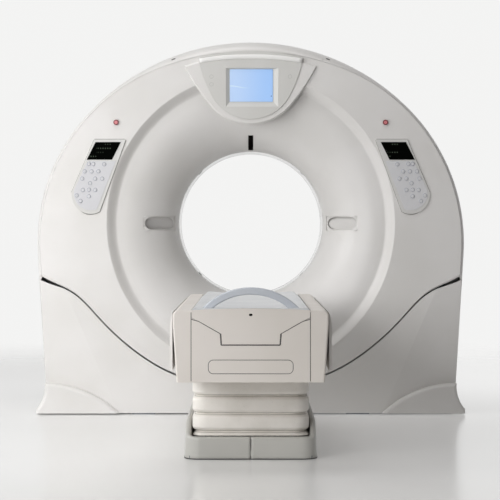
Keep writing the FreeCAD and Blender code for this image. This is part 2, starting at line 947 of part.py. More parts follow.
def scan_window():
    """The clear ring that closes the bore between the two bell mouths, with four tabs at its front edge."""
    gap = size("seat_gap")
    front = bore_front() + gap
    length = size("bore_back") - gap - front
    iso = size("iso_height")
    inner = size("bore_radius")
    start = vector(0, front, iso)
    ring = Part.makeCylinder(inner + size("window_wall"), length, start, vector(0, 1, 0))
    hole = Part.makeCylinder(inner, length, start, vector(0, 1, 0))
    ring = ring.cut(hole)
    width = size("window_tab_width")
    depth = size("window_tab_depth")
    tabs = []
    for quarter in range(4):
        tab = Part.makeBox(
            width,
            size("window_tab_length"),
            depth + size("window_wall") / 2,
            vector(-width / 2, front, inner - depth),
        )
        tab.rotate(vector(0, 0, 0), vector(0, 1, 0), 45 + 90 * quarter)
        tab.translate(vector(0, 0, iso))
        tabs.append(tab)
    return ring.fuse(tabs).removeSplitter()


keep(solid("ScanWindow", scan_window()), "scan_window")

for word, sign in (("left", "-"), ("right", "+")):
    name = f"Lens{word.title()}"
    near = "pocket_outer - lens_thick" if sign == "+" else "-pocket_outer"
    lens = box(
        name,
        (near, f"{bell_place(size('pocket_outer'))} + (pocket_depth - lens_width) / 2", "iso_height - lens_height / 2"),
        ("lens_thick", "lens_width", "lens_height"),
    )
    keep(lens, f"laser_window_{word}")

    button = cylinder(
        f"Stop{word.title()}",
        "y",
        (f"{sign}stop_place", "-gantry_half_depth - stop_proud", "stop_height"),
        "stop_radius - stop_clearance",
        "stop_proud + cover_wall",
    )
    keep(button, f"stop_button_{word}")


# ---- display -------------------------------------------------------------------------------------


def tangent_arc(start, direction, end):
    """An arc from a point that leaves along a direction and ends at another point."""
    chord = end - start
    along_unit = vector(chord.x, chord.y, chord.z).normalize()
    turn = direction.normalize().getAngle(along_unit)
    across = (direction - along_unit * direction.dot(along_unit)).normalize()
    middle = (start + end) * 0.5 + across * (chord.Length / 2 * math.tan(turn / 2))
    return Part.Arc(start, middle, end).toShape()


def shield_wire(depth, bottom, corner_place, corner_height, top_place, top, grow):
    """A shield outline: a round bottom, sides that open upwards on tangent arcs, and a top arc like the arch's."""
    centre = (corner_place**2 + corner_height**2 - bottom**2) / (2 * (corner_height - bottom))
    radius = centre - bottom
    reach = corner_place / radius * (radius + grow)
    level = centre - (centre - corner_height) / radius * (radius + grow)
    corner = vector(reach, depth, level)
    crown = vector(top_place + grow, depth, top + grow)
    tangent = vector(centre - corner_height, 0, corner_place)
    side = tangent_arc(corner, tangent, crown)
    mirrored = side.mirror(vector(0, 0, 0), vector(1, 0, 0))
    bottom_arc = Part.Arc(vector(-reach, depth, level), vector(0, depth, bottom - grow), corner)
    rise = crown.x**2 / (2 * (size("arch_height") - size("iso_height")))
    top_arc = Part.Arc(crown, vector(0, depth, crown.z + rise), vector(-crown.x, depth, crown.z))
    edges = Part.__sortEdges__([bottom_arc.toShape(), side, top_arc.toShape(), mirrored])
    return Part.Wire(edges)


def shield_sizes(kind):
    keys = ("bottom", "corner_place", "corner_height", "top_place", "top")
    return [size(f"{kind}_{key}") for key in keys]


def display_surround():
    """The raised frame around the display panel, sloping down to the cover at its outer edge."""
    face = -size("gantry_half_depth")
    proud = size("surround_proud")
    chamfer = size("surround_chamfer")
    low = shield_wire(face, *shield_sizes("surround"), 0)
    high = shield_wire(face - proud, *shield_sizes("surround"), -chamfer)
    block = Part.makeLoft([low, high], True, True)
    hole = Part.Face(shield_wire(face, *shield_sizes("shield"), size("seat_gap")))
    return block.cut(hole.extrude(vector(0, -2 * proud, 0)))


def display_panel():
    """The shield-shaped panel with the bevelled recess of the screen."""
    face = -size("gantry_half_depth")
    panel = Part.Face(shield_wire(face, *shield_sizes("shield"), 0))
    panel = panel.extrude(vector(0, -size("shield_proud"), 0))
    front = face - size("shield_proud")
    outer = [
        (-size("recess_left"), size("recess_low")),
        (size("recess_right"), size("recess_low")),
        (size("recess_right"), size("recess_high")),
        (-size("recess_left"), size("recess_high")),
    ]
    inner = [
        (-size("screen_left"), size("screen_low")),
        (size("screen_right"), size("screen_low")),
        (size("screen_right"), size("screen_high")),
        (-size("screen_left"), size("screen_high")),
    ]
    wires = []
    for corners, depth in ((outer, front), (inner, front + size("screen_recess"))):
        points = [vector(across, depth, up) for across, up in corners]
        wires.append(Part.makePolygon(points + points[:1]))
    return panel.cut(Part.makeLoft(wires, True, True))


keep(solid("DisplaySurround", display_surround()), "display_surround")
keep(solid("DisplayPanel", display_panel()), "display_panel")
keep(
    box(
        "DisplayScreen",
        (
            "-screen_left + seat_gap",
            "-gantry_half_depth - shield_proud + screen_recess - screen_thick",
            "screen_low + seat_gap",
        ),
        ("screen_left + screen_right - 2 * seat_gap", "screen_thick", "screen_high - screen_low - 2 * seat_gap"),
    ),
    "display_screen",
)


# ---- control panels ------------------------------------------------------------------------------


def panel_wire(side, depth, shrink):
    """A control panel's outline: straight top and sides, and a round lower end."""
    middle = (size("panel_top_inner") + size("panel_low_outer")) / 2
    level = (size("panel_top") + size("panel_low_middle_height")) / 2

    def point(across, up):
        pull_across = shrink * (1 if across > middle else -1)
        pull_up = shrink * (1 if up > level else -1)
        return vector(side * (across - pull_across), depth, up - pull_up)

    inner_top = point(size("panel_top_inner"), size("panel_top"))
    outer_top = point(size("panel_top_outer"), size("panel_top"))
    outer_low = point(size("panel_low_outer"), size("panel_low_outer_height"))
    low = point(size("panel_low_middle"), size("panel_low_middle_height"))
    inner_low = point(size("panel_low_inner"), size("panel_low_inner_height"))
    edges = [
        Part.LineSegment(inner_top, outer_top).toShape(),
        Part.LineSegment(outer_top, outer_low).toShape(),
        Part.Arc(outer_low, low, inner_low).toShape(),
        Part.LineSegment(inner_low, inner_top).toShape(),
    ]
    return Part.Wire(edges)


def keypad(side):
    """A moulded mat below the readout with its round keys in one piece."""
    face = -size("gantry_half_depth") - size("panel_proud")
    mat = Part.Face(panel_wire(side, face, size("mat_margin"))).extrude(vector(0, -size("mat_thick"), 0))
    top = size("readout_low") - size("mat_margin") / 2
    mat = mat.common(lower_zone(0, top))
    keys = []
    for across, up in KEYS:
        start = vector(side * across, face, size("iso_height") + up)
        length = size("mat_thick") + size("key_proud")
        keys.append(Part.makeCylinder(size("key_radius"), length, start, vector(0, -1, 0)))
    return mat.fuse(keys).removeSplitter()


def readout(side):
    """The dark glass of a control panel, a leaning four-sided plate."""
    face = -size("gantry_half_depth") - size("panel_proud")
    lean = size("readout_lean")
    corners = [
        (size("readout_top_inner"), size("readout_top")),
        (size("readout_top_outer"), size("readout_top")),
        (size("readout_top_outer") + lean, size("readout_low")),
        (size("readout_top_inner") + lean, size("readout_low")),
    ]
    points = [vector(side * across, face, up) for across, up in corners]
    plate = Part.Face(Part.makePolygon(points + points[:1]))
    return plate.extrude(vector(0, -size("readout_thick"), 0))


def control_panel(side):
    face = -size("gantry_half_depth")
    return Part.Face(panel_wire(side, face, 0)).extrude(vector(0, -size("panel_proud"), 0))


for word, side in (("left", -1), ("right", 1)):
    keep(solid(f"Panel{word.title()}", control_panel(side)), f"control_panel_{word}")
    keep(solid(f"Readout{word.title()}", readout(side)), f"panel_screen_{word}")
    keep(solid(f"Keypad{word.title()}", keypad(side)), f"keypad_{word}")


# ---- fixed steel frame of the gantry -------------------------------------------------------------


def base_frame():
    """A floor plate with cross members, stanchion pads and tongues that seat the lower covers."""
    plate_half_width = "(stanchion_outer + 6)"
    pieces = [
        box(
            "FloorPlate",
            (f"-{plate_half_width}", "-plate_half_depth", "0"),
            (f"2 * {plate_half_width}", "2 * plate_half_depth", "plate_thick"),
        )
    ]
    for sign, name in ((-1, "Front"), (1, "Back")):
        near = "-cross_depth_far" if sign < 0 else "cross_depth_near"
        pieces.append(
            box(
                f"Cross{name}",
                ("-stanchion_inner", near, "0"),
                ("2 * stanchion_inner", "cross_depth_far - cross_depth_near", "cross_height"),
            )
        )
    seat = "(gantry_half_depth - cover_wall - seat_gap)"
    for sign, name in (("-", "Left"), ("+", "Right")):
        pad_low = "-stanchion_outer" if sign == "-" else "stanchion_inner"
        pieces.append(
            box(
                f"Pad{name}",
                (pad_low, "-stanchion_half_depth", "0"),
                ("stanchion_outer - stanchion_inner", "2 * stanchion_half_depth", "pad_height"),
            )
        )
        pieces.append(
            box(
                f"Tongue{name}",
                (f"{sign}tongue_place - tongue_width / 2", f"-{seat}", "0"),
                ("tongue_width", f"2 * {seat}", "plate_thick"),
            )
        )
    steel = fuse("BaseSteel", pieces)
    holes = []
    for across in ("-", "+"):
        for deep in ("-", "+"):
            holes.append(
                cylinder(
                    "AnchorHole",
                    "z",
                    (f"{across}anchor_place", f"{deep}anchor_depth", "-hole_overrun"),
                    "anchor_radius",
                    "plate_thick + 2 * hole_overrun",
                )
            )
    return cut("BaseFrame", steel, fuse("AnchorHoles", holes))


keep(base_frame(), "base_frame")

for word, sign in (("left", "-"), ("right", "+")):
    near = "-stanchion_outer" if sign == "-" else "stanchion_inner"
    width = "(stanchion_outer - stanchion_inner)"
    column = box(
        f"Column{word.title()}",
        (near, "-stanchion_half_depth", "pad_height"),
        (width, "2 * stanchion_half_depth", "iso_height + stanchion_above_axis - pad_height"),
    )
    seat = cylinder(
        f"BearingSeat{word.title()}",
        "x",
        (near, "0", "iso_height"),
        "tilt_bearing_radius + running_clearance",
        width,
    )
    keep(cut(f"Stanchion{word.title()}", column, seat), f"stanchion_{word}")
    bearing = tube(
        f"TiltBearing{word.title()}",
        "x",
        (near, "0", "iso_height"),
        "trunnion_radius",
        "tilt_bearing_radius",
        width,
    )
    keep(bearing, f"tilt_bearing_{word}")

keep(
    cylinder(
        "Gearmotor",
        "x",
        ("stanchion_outer", "0", "iso_height"),
        "gearmotor_radius",
        "gearmotor_thick",
    ),
    "tilt_gearmotor",
)


# ---- tilting frame -------------------------------------------------------------------------------


def tilt_frame():
    """A ring plate behind the rotor, side arms with trunnions, and four rails that carry the covers."""
    back = "(ring_plate_front + ring_plate_thick)"
    ring = tube(
        "RingPlate",
        "y",
        ("0", "ring_plate_front", "iso_height"),
        "ring_plate_inner",
        "ring_plate_outer",
        "ring_plate_thick",
    )
    pieces = [ring]
    for word, sign in (("Left", "-"), ("Right", "+")):
        near = "-arm_outer" if sign == "-" else "arm_inner"
        pieces.append(
            box(
                f"Arm{word}",
                (near, "-arm_front", "iso_height - arm_half_height"),
                ("arm_outer - arm_inner", f"arm_front + {back}", "2 * arm_half_height"),
            )
        )
        link = "-arm_outer" if sign == "-" else "ring_plate_outer - 60"
        pieces.append(
            box(
                f"ArmLink{word}",
                (link, "ring_plate_front", "iso_height - arm_half_height"),
                ("arm_outer - ring_plate_outer + 60", "ring_plate_thick", "2 * arm_half_height"),
            )
        )
        start = "-stanchion_outer" if sign == "-" else "arm_inner"
        pieces.append(
            cylinder(
                f"Trunnion{word}",
                "x",
                (start, "0", "iso_height"),
                "trunnion_radius - running_clearance",
                "stanchion_outer - arm_inner",
            )
        )
    seat = "(gantry_half_depth - cover_wall - seat_gap)"
    corners = [
        ("-rail_width / 2", "rail_inner"),
        ("rail_width / 2", "rail_inner"),
        ("rail_width / 2", "rail_outer"),
        ("-rail_width / 2", "rail_outer"),
    ]
    for number, angle in enumerate(
        ("rail_upper_angle", "-rail_upper_angle", "rail_lower_angle", "-rail_lower_angle"), start=1
    ):
        rail = prism(f"CoverRail{number}", "XZ_Plane", corners, f"-{seat}", f"2 * {seat}")
        pieces.append(swing(rail, angle))
    return fuse("TiltFrame", pieces)


keep(tilt_frame(), "tilt_frame")

keep(
    turned(
        "BearingOuter",
        [
            ("bearing_front", "bearing_race_radius + bearing_clearance"),
            ("ring_plate_front", "bearing_race_radius + bearing_clearance"),
            ("ring_plate_front", "bearing_outer_radius"),
            ("bearing_front", "bearing_outer_radius"),
        ],
        "iso_height",
    ),
    "bearing_outer_ring",
)
keep(
    turned(
        "DriveStator",
        [
            ("drive_front", "stator_inner"),
            ("ring_plate_front", "stator_inner"),
            ("ring_plate_front", "stator_outer"),
            ("drive_front", "stator_outer"),
        ],
        "iso_height",
    ),
    "drive_stator",
)


# ---- rotor ---------------------------------------------------------------------------------------

keep(
    turned(
        "RotorDrum",
        [
            ("-drum_front", "drum_outer - drum_rim"),
            ("drum_back - drum_web", "drum_outer - drum_rim"),
            ("drum_back - drum_web", "drum_inner + drum_hub"),
            ("-drum_front", "drum_inner + drum_hub"),
            ("-drum_front", "drum_inner"),
            ("drum_back", "drum_inner"),
            ("drum_back", "drum_outer"),
            ("-drum_front", "drum_outer"),
        ],
        "iso_height",
    ),
    "rotor_drum",
)
keep(
    turned(
        "BearingInner",
        [
            ("drum_back", "bearing_inner_radius"),
            ("ring_plate_front - 4", "bearing_inner_radius"),
            ("ring_plate_front - 4", "bearing_race_radius"),
            ("drum_back", "bearing_race_radius"),
        ],
        "iso_height",
    ),
    "bearing_inner_ring",
)
keep(
    turned(
        "DriveMagnets",
        [
            ("drum_back", "magnet_inner"),
            ("ring_plate_front - 4", "magnet_inner"),
            ("ring_plate_front - 4", "magnet_outer"),
            ("drum_back", "magnet_outer"),
        ],
        "iso_height",
    ),
    "drive_magnets",
)
keep(
    turned(
        "SlipRing",
        [
            ("drum_back", "slip_inner"),
            ("slip_back", "slip_inner"),
            ("slip_back", "slip_outer"),
            ("drum_back", "slip_outer"),
        ],
        "iso_height",
    ),
    "slip_ring",
)

WEB = "(drum_back - drum_web)"

keep(
    cylinder(
        "TubeHousing",
        "y",
        ("0", "-tube_front", "iso_height + tube_place"),
        "tube_radius",
        f"tube_front + {WEB}",
    ),
    "xray_tube",
)


def rotor_box(name, half_width, low, high, front, angle):
    """A box on the drum's web between two radii, at a clockwise angle from the top."""
    corners = [
        (f"-({half_width})", low),
        (half_width, low),
        (half_width, high),
        (f"-({half_width})", high),
    ]
    return swing(prism(name, "XZ_Plane", corners, f"-{front}", f"{front} + {WEB}"), angle)


keep(
    rotor_box("Collimator", "collimator_width / 2", "collimator_low", "collimator_high", "collimator_front", "0"),
    "collimator",
)
keep(
    rotor_box(
        "Exchanger",
        "exchanger_width / 2",
        "exchanger_low",
        "exchanger_high",
        "exchanger_front",
        "exchanger_angle",
    ),
    "heat_exchanger",
)
keep(
    rotor_box(
        "Generator",
        "generator_width / 2",
        "generator_low",
        "generator_high",
        "generator_front",
        "generator_angle",
    ),
    "generator",
)


def arc_block(inner, outer, half_angle, front):
    """A curved block on the drum's web, centred below the bore."""
    iso = size("iso_height")
    start = -size(front)
    length = size(f"{front} + {WEB}")
    spread = math.radians(size(half_angle))

    def at(radius, angle):
        return vector(radius * math.sin(angle), start, iso - radius * math.cos(angle))

    low, high = size(inner), size(outer)
    edges = [
        Part.Arc(at(low, -spread), at(low, 0), at(low, spread)).toShape(),
        Part.LineSegment(at(low, spread), at(high, spread)).toShape(),
        Part.Arc(at(high, spread), at(high, 0), at(high, -spread)).toShape(),
        Part.LineSegment(at(high, -spread), at(low, -spread)).toShape(),
    ]
    return Part.Face(Part.Wire(edges)).extrude(vector(0, length, 0))


keep(
    solid(
        "DetectorArc", arc_block("detector_inner", "detector_outer", "detector_half_angle", "detector_front")
    ),
    "detector_arc",
)
keep(
    solid(
        "DataUnit",
        arc_block("detector_outer + seat_gap", "data_outer", "data_half_angle", "data_front"),
    ),
    "data_unit",
)


# ---- couch: plinth, column and bellows -----------------------------------------------------------


def couch_plate():
    """The couch's floor plate with its four anchor holes."""
    plate = box(
        "CouchSteel",
        ("-couch_plate_half_width", "-column_centre - couch_plate_half_depth", "0"),
        ("2 * couch_plate_half_width", "2 * couch_plate_half_depth", "couch_plate_thick"),
    )
    holes = []
    for across in ("-", "+"):
        for deep in ("-", "+"):
            holes.append(
                cylinder(
                    "CouchAnchorHole",
                    "z",
                    (f"{across}couch_anchor_place", f"-column_centre {deep} couch_anchor_depth", "-hole_overrun"),
                    "anchor_radius",
                    "couch_plate_thick + 2 * hole_overrun",
                )
            )
    return cut("CouchPlate", plate, fuse("CouchAnchorHoles", holes))


keep(couch_plate(), "couch_base_plate")


def column_stage(name, inset, low, high):
    """One stage of the telescopic column, a rectangular tube."""
    half_width = f"(column_half_width - {inset})"
    half_depth = f"(column_half_depth - {inset})"
    outside = box(
        f"{name}Wall",
        (f"-{half_width}", f"-column_centre - {half_depth}", low),
        (f"2 * {half_width}", f"2 * {half_depth}", f"{high} - ({low})"),
    )
    inside = box(
        f"{name}Hollow",
        (f"-{half_width} + column_wall", f"-column_centre - {half_depth} + column_wall", low),
        (f"2 * ({half_width} - column_wall)", f"2 * ({half_depth} - column_wall)", f"{high} - ({low})"),
    )
    return cut(name, outside, inside)


keep(column_stage("ColumnBase", "0", "couch_plate_thick", "column_base_top"), "lift_column_base")
keep(
    column_stage("ColumnMiddle", "(column_wall + seat_gap)", "column_middle_low", "column_middle_top"),
    "lift_column_middle",
)
keep(
    column_stage("ColumnTop", "2 * (column_wall + seat_gap)", "column_top_low", "frame_deck_low"),
    "lift_column_top",
)


def rounded_rectangle(half_width, half_depth, radius, level):
    """A rectangle with round corners about the column's centre line, at one height."""
    near = -size("column_centre")
    rectangle = Part.makePlane(2 * half_width, 2 * half_depth, vector(-half_width, near - half_depth, level))
    block = rectangle.extrude(vector(0, 0, 1))
    block = block.makeFillet(radius, [edge for edge in block.Edges if along(edge, "z")])
    face = min(block.Faces, key=lambda item: item.CenterOfMass.z)
    return face.OuterWire


def bellows():
    """A folded sleeve between the plinth and the couch: its section widens and narrows at even steps."""
    low = size("bellows_low")
    high = size("couch_bottom")
    pitch = size("bellows_pitch")
    fold = size("bellows_fold")
    levels = [low]
    crease = size("bellows_first_fold")
    while crease < high:
        levels += [crease, crease + pitch / 2]
        crease += pitch
    levels = [level for level in levels if level < high] + [high]

    def inset(level):
        phase = (level - size("bellows_first_fold")) / pitch
        return fold * 2 * abs(phase - math.floor(phase) - 0.5)

    shapes = []
    for base, wall in ((0.0, 0.0), (size("bellows_wall"), size("bellows_wall"))):
        sections = []
        for level in levels:
            taken = base + inset(level)
            half_width = size("bellows_half_width") - taken
            half_depth = size("bellows_half_depth") - taken
            radius = max(size("bellows_round") - wall, 1.0)
            sections.append(rounded_rectangle(half_width, half_depth, radius, level))
        shapes.append(Part.makeLoft(sections, True, True))
    return shapes[0].cut(shapes[1])


keep(solid("Bellows", bellows()), "bellows")


def plinth_covers():
    """The plinth's two halves with the side fairings, parted along the middle, and two small clips in front."""
    bottom = size("plinth_bottom")
    height = size("plinth_height")
    wall = size("plinth_wall")
    flare = size("plinth_flare")
    half_width = size("plinth_half_width")
    half_depth = size("plinth_half_depth")
    radius = size("plinth_round")
    rings = []
    for inset, extra in ((0.0, 0.0), (wall, OVERRUN)):
        low = rounded_rectangle(half_width + flare - inset, half_depth + flare - inset, radius, bottom - extra)
        high = rounded_rectangle(half_width - inset, half_depth - inset, radius, height - inset)
        rings.append(Part.makeLoft([low, high], True, True))
    gap = size("seat_gap")
    opening = rounded_rectangle(
        size("bellows_half_width") + gap, size("bellows_half_depth") + gap, size("bellows_round"), 0
    )
    shell = rings[0].cut(rings[1]).cut(Part.Face(opening).extrude(vector(0, 0, 2 * height)))
    near = -size("column_centre")
    long_half = size("fairing_half_length")
    halves = []
    for side in (-1, 1):
        inner, outer = size("fairing_inner"), size("fairing_outer")
        foot = height - wall
        corners = [
            (inner, foot),
            (inner, size("fairing_top") - size("fairing_step_drop")),
            (inner + size("fairing_step"), size("fairing_top")),
            (inner + size("fairing_crown"), size("fairing_top") - size("fairing_crown_drop")),
            (outer, size("fairing_tip")),
            (half_width - wall, foot),
        ]
        points = [vector(side * across, near - long_half, up) for across, up in corners]
        fairing = Part.Face(Part.makePolygon(points + points[:1])).extrude(vector(0, 2 * long_half, 0))
        ends = [edge for edge in fairing.Edges if abs(abs(edge.CenterOfMass.y - near) - long_half) < 1e-3]
        chamfer = size("fairing_end_chamfer")
        upper = [edge for edge in ends if edge.CenterOfMass.z > size("fairing_tip") - chamfer]
        fairing = fairing.makeChamfer(chamfer, upper)
        middle = size("cover_joint") / 2
        start = middle if side > 0 else -CUTTER_REACH
        zone = Part.makeBox(
            CUTTER_REACH - middle, 4 * CUTTER_REACH, CUTTER_REACH, vector(start, -4 * CUTTER_REACH, -1)
        )
        clip_place = size("clip_right") if side > 0 else -size("clip_left")
        clip = Part.makeBox(
            size("clip_width"),
            size("clip_proud") + wall,
            size("clip_height"),
            vector(
                clip_place - size("clip_width") / 2,
                near - half_depth - size("clip_proud"),
                height - size("clip_height"),
            ),
        )
        halves.append(shell.common(zone).fuse([fairing, clip]).removeSplitter())
    return halves


for word, shape in zip(("left", "right"), plinth_covers()):
    keep(solid(f"Plinth{word.title()}", shape), f"plinth_cover_{word}")


# ---- couch: lifting part -------------------------------------------------------------------------


# Behind the foot end the frame stays open for the tabletop's end plate, which hangs lower than the deck.
TRAVEL_SPACE = "(tabletop_travel + travel_clearance)"


def couch_frame():
    """Two deep webs with rails on top, and a deck between them behind the travel of the tabletop's end."""
    length = "(couch_near - end_thick - seat_gap - couch_far)"
    start = "-couch_near + end_thick + seat_gap"
    pieces = [
        box(
            "Deck",
            ("-frame_web_outer", f"{start} + {TRAVEL_SPACE}", "frame_deck_low"),
            ("2 * frame_web_outer", f"{length} - {TRAVEL_SPACE}", "frame_deck_high - frame_deck_low"),
        )
    ]
    for word, sign in (("Left", "-"), ("Right", "+")):
        web = "-frame_web_outer" if sign == "-" else "frame_web_inner"
        pieces.append(
            box(
                f"Web{word}",
                (web, start, "frame_low"),
                ("frame_web_outer - frame_web_inner", length, "frame_deck_low - frame_low"),
            )
        )
        pieces.append(
            box(
                f"Rail{word}",
                (f"{sign}rail_place - rail_half_width", start, "frame_deck_low"),
                ("2 * rail_half_width", length, "rail_top - frame_deck_low"),
            )
        )
    return fuse("CouchFrame", pieces)


keep(couch_frame(), "couch_frame")


def side_cover(side):
    """A long moulded cover beside the couch, open underneath, with a rounded top outer edge."""
    near = -size("couch_near")
    length = size("couch_near") - size("couch_far")
    shapes = []
    for wall, extra in ((0.0, 0.0), (size("couch_wall"), OVERRUN)):
        corners = [
            (size("couch_side_inner") + wall, size("couch_bottom") - extra),
            (size("couch_side_low_outer") - wall, size("couch_bottom") - extra),
            (size("couch_side_low_outer") - wall, size("couch_bottom")),
            (size("couch_side_outer") - wall, size("bumper_shoulder")),
            (size("couch_side_outer") - wall, size("couch_side_top") - wall),
            (size("couch_side_inner") + wall, size("couch_side_top") - wall),
        ]
        if not extra:
            del corners[1]
        points = [vector(side * across, near + wall, up) for across, up in corners]
        block = Part.Face(Part.makePolygon(points + points[:1])).extrude(vector(0, length - 2 * wall, 0))
        top = [
            edge
            for edge in block.Edges
            if along(edge, "y")
            and edge.CenterOfMass.z > size("couch_side_top") - wall - 1
            and abs(edge.CenterOfMass.x) > size("couch_side_outer") - wall - 1
        ]
        block = block.makeFillet(size("couch_side_round") - wall, top)
        if not extra:
            ends = [
                edge
                for edge in block.Edges
                if abs(edge.CenterOfMass.y - near) < 1e-3
                and edge.CenterOfMass.z > size("couch_bottom") + 1
                and abs(edge.CenterOfMass.x) > size("couch_side_inner") + 1
            ]
            block = block.makeFillet(size("couch_end_round"), ends)
        shapes.append(block)
    return shapes[0].cut(shapes[1])


def flap_corners(gap):
    """The stepped line between the tabletop's end and the fixed end cover, from left to right."""
    right = [
        (size("flap_low_place"), size("flap_low") - gap),
        (size("flap_inner_place"), size("flap_inner_height")),
        (size("flap_shelf_place"), size("flap_shelf_height") - gap),
        (size("couch_side_inner - cover_joint"), size("flap_side_height") - gap),
    ]
    right[0] = (right[0][0] + gap, right[0][1])
    right[1] = (right[1][0] + gap, right[1][1] - gap / 2)
    left = [(-across, up) for across, up in reversed(right)]
    return left + right


def end_plate(corners, thick):
    """A plate across the couch's foot end."""
    near = -size("couch_near")
    points = [vector(across, near, up) for across, up in corners]
    return Part.Face(Part.makePolygon(points + points[:1])).extrude(vector(0, thick, 0))


def rounded_plate(half_width, low, high, radius, front, thick):
    """An upright plate across the couch with round corners."""
    block = Part.makeBox(2 * half_width, thick, high - low, vector(-half_width, front, low))
    return block.makeFillet(radius, [edge for edge in block.Edges if along(edge, "y")])


def end_cover():
    """The fixed cover at the foot end, with the shallow seat of the service panel."""
    outline = flap_corners(size("flap_gap"))
    outline += [(size("couch_side_inner - cover_joint"), size("couch_bottom")), (-size("couch_side_inner - cover_joint"), size("couch_bottom"))]
    plate = end_plate(outline, size("end_thick"))
    gap = size("seat_gap") * 2
    seat = rounded_plate(
        size("service_half_width") + gap,
        size("service_low") - gap,
        size("service_high") + gap,
        size("service_round") + gap,
        -size("couch_near"),
        size("service_recess"),
    )
    return plate.cut(seat)


def service_panel():
    return rounded_plate(
        size("service_half_width"),
        size("service_low"),
        size("service_high"),
        size("service_round"),
        -size("couch_near"),
        size("service_recess"),
    )


def under_cover():
    """A tray under the frame with a hole for the column."""
    wall = size("couch_wall")
    near = -size("couch_near") + size("end_thick") + size("seat_gap")
    length = -size("couch_far") - near
    half_width = size("couch_side_inner - cover_joint")
    tray = Part.makeBox(2 * half_width, length, wall, vector(-half_width, near, size("couch_bottom")))
    posts = []
    for side in (-1, 1):
        across = side * (size("frame_web_inner") + size("frame_web_outer")) / 2
        margin = size("post_margin")
        for place_along in (near + margin, near + length / 2, near + length - margin):
            start = vector(across, place_along, size("couch_bottom"))
            rise = size("frame_low") - size("couch_bottom")
            posts.append(Part.makeCylinder(size("post_radius"), rise, start))
    clearance = size("column_clearance")
    hole = Part.makeBox(
        2 * (size("column_half_width") + clearance),
        2 * (size("column_half_depth") + clearance),
        3 * wall,
        vector(
            -size("column_half_width") - clearance,
            -size("column_centre") - size("column_half_depth") - clearance,
            size("couch_bottom") - wall,
        ),
    )
    return tray.fuse(posts).cut(hole)


def side_bumper(side):
    """A long strip that stands off the side cover on three spacers."""
    inner = size("couch_side_outer") + size("bumper_gap")
    outer = size("bumper_outer")
    near = -size("bumper_near")
    length = size("bumper_near") - size("bumper_far")
    thick = size("bumper_thick")
    corners = [
        (inner, size("bumper_low")),
        (outer, size("bumper_low")),
        (outer, size("bumper_shoulder")),
        (inner, size("bumper_top")),
        (inner, size("bumper_top") - 2 * thick),
        (outer - thick, size("bumper_shoulder") - 4),
        (inner, size("bumper_shoulder") - 8),
    ]
    points = [vector(side * across, near, up) for across, up in corners]
    strip = Part.Face(Part.makePolygon(points + points[:1])).extrude(vector(0, length, 0))
    radius = size("spacer_radius")
    level = size("bumper_shoulder") - size("spacer_drop")
    reach = inner - side_face(level + radius) - size("seat_gap")
    pads = []
    for share in (0.1, 0.5, 0.9):
        start = vector(side * (inner + 1), near + share * length, level)
        pads.append(Part.makeCylinder(radius, reach + 1, start, vector(-side, 0, 0)))
    return strip.fuse(pads)


def side_face(level):
    """How far out the side cover's face is at a height under its shoulder."""
    share = (level - size("couch_bottom")) / (size("bumper_shoulder") - size("couch_bottom"))
    low = size("couch_side_low_outer")
    return low + share * (size("couch_side_outer") - low)


for word, side in (("left", -1), ("right", 1)):
    keep(solid(f"SideCover{word.title()}", side_cover(side)), f"side_cover_{word}")
    keep(solid(f"Bumper{word.title()}", side_bumper(side)), f"side_bumper_{word}")
keep(solid("EndCover", end_cover()), "end_cover")
keep(solid("ServicePanel", service_panel()), "service_panel")
keep(solid("UnderCover", under_cover()), "under_cover")
keep(
    box(
        "TabletopMotor",
        ("-motor_half_width", f"-couch_near + end_thick + {TRAVEL_SPACE} + seat_gap", "motor_low"),
        ("2 * motor_half_width", "motor_length", "frame_deck_low - motor_low"),
    ),
    "tabletop_motor",
)


# ---- couch: tabletop -----------------------------------------------------------------------------


def tabletop():
    """A long cradle, narrower at the bore end, hollowed along its top, with runners and two pin sockets."""
    near = -size("couch_near") + size("end_thick")
    far = -size("tabletop_far")
    low, high = size("tabletop_low"), size("tabletop_high")
    wide, narrow = size("tabletop_half_width"), size("tabletop_far_half_width")
    taper = near + 2 * (far - near) / 3
    plan = [(-wide, near), (wide, near), (wide, taper), (narrow, far), (-narrow, far), (-wide, taper)]
    points = [vector(across, deep, low) for across, deep in plan]
    slab = Part.Face(Part.makePolygon(points + points[:1])).extrude(vector(0, 0, high - low))
    long_edges = [
        edge
        for edge in slab.Edges
        if abs(abs(edge.CenterOfMass.x) - wide) < 20 and edge.Length > 300 and edge.CenterOfMass.z > low
    ]
    slab = slab.makeFillet(size("tabletop_edge_round"), long_edges)
    depth = size("tabletop_hollow")
    half = size("tabletop_hollow_half_width")
    radius = (half**2 + depth**2) / (2 * depth)
    trough_start = vector(0, near + size("tabletop_hollow_start"), high + radius - depth)
    trough = Part.makeCylinder(radius, far - near, trough_start, vector(0, 1, 0))
    slab = slab.cut(trough)
    for side in (-1, 1):
        across = side * size("rail_place")
        runner_low = size("rail_top") + size("seat_gap")
        runner = Part.makeBox(
            2 * size("rail_half_width"),
            far - size("runner_stop") - near,
            low - runner_low + 1,
            vector(across - size("rail_half_width"), near, runner_low),
        )
        start = vector(side * size("socket_place"), far - size("socket_set_back"), low - OVERRUN)
        socket = Part.makeCylinder(size("socket_radius"), high - low + 2 * OVERRUN, start)
        slab = slab.fuse(runner).cut(socket)
    return slab


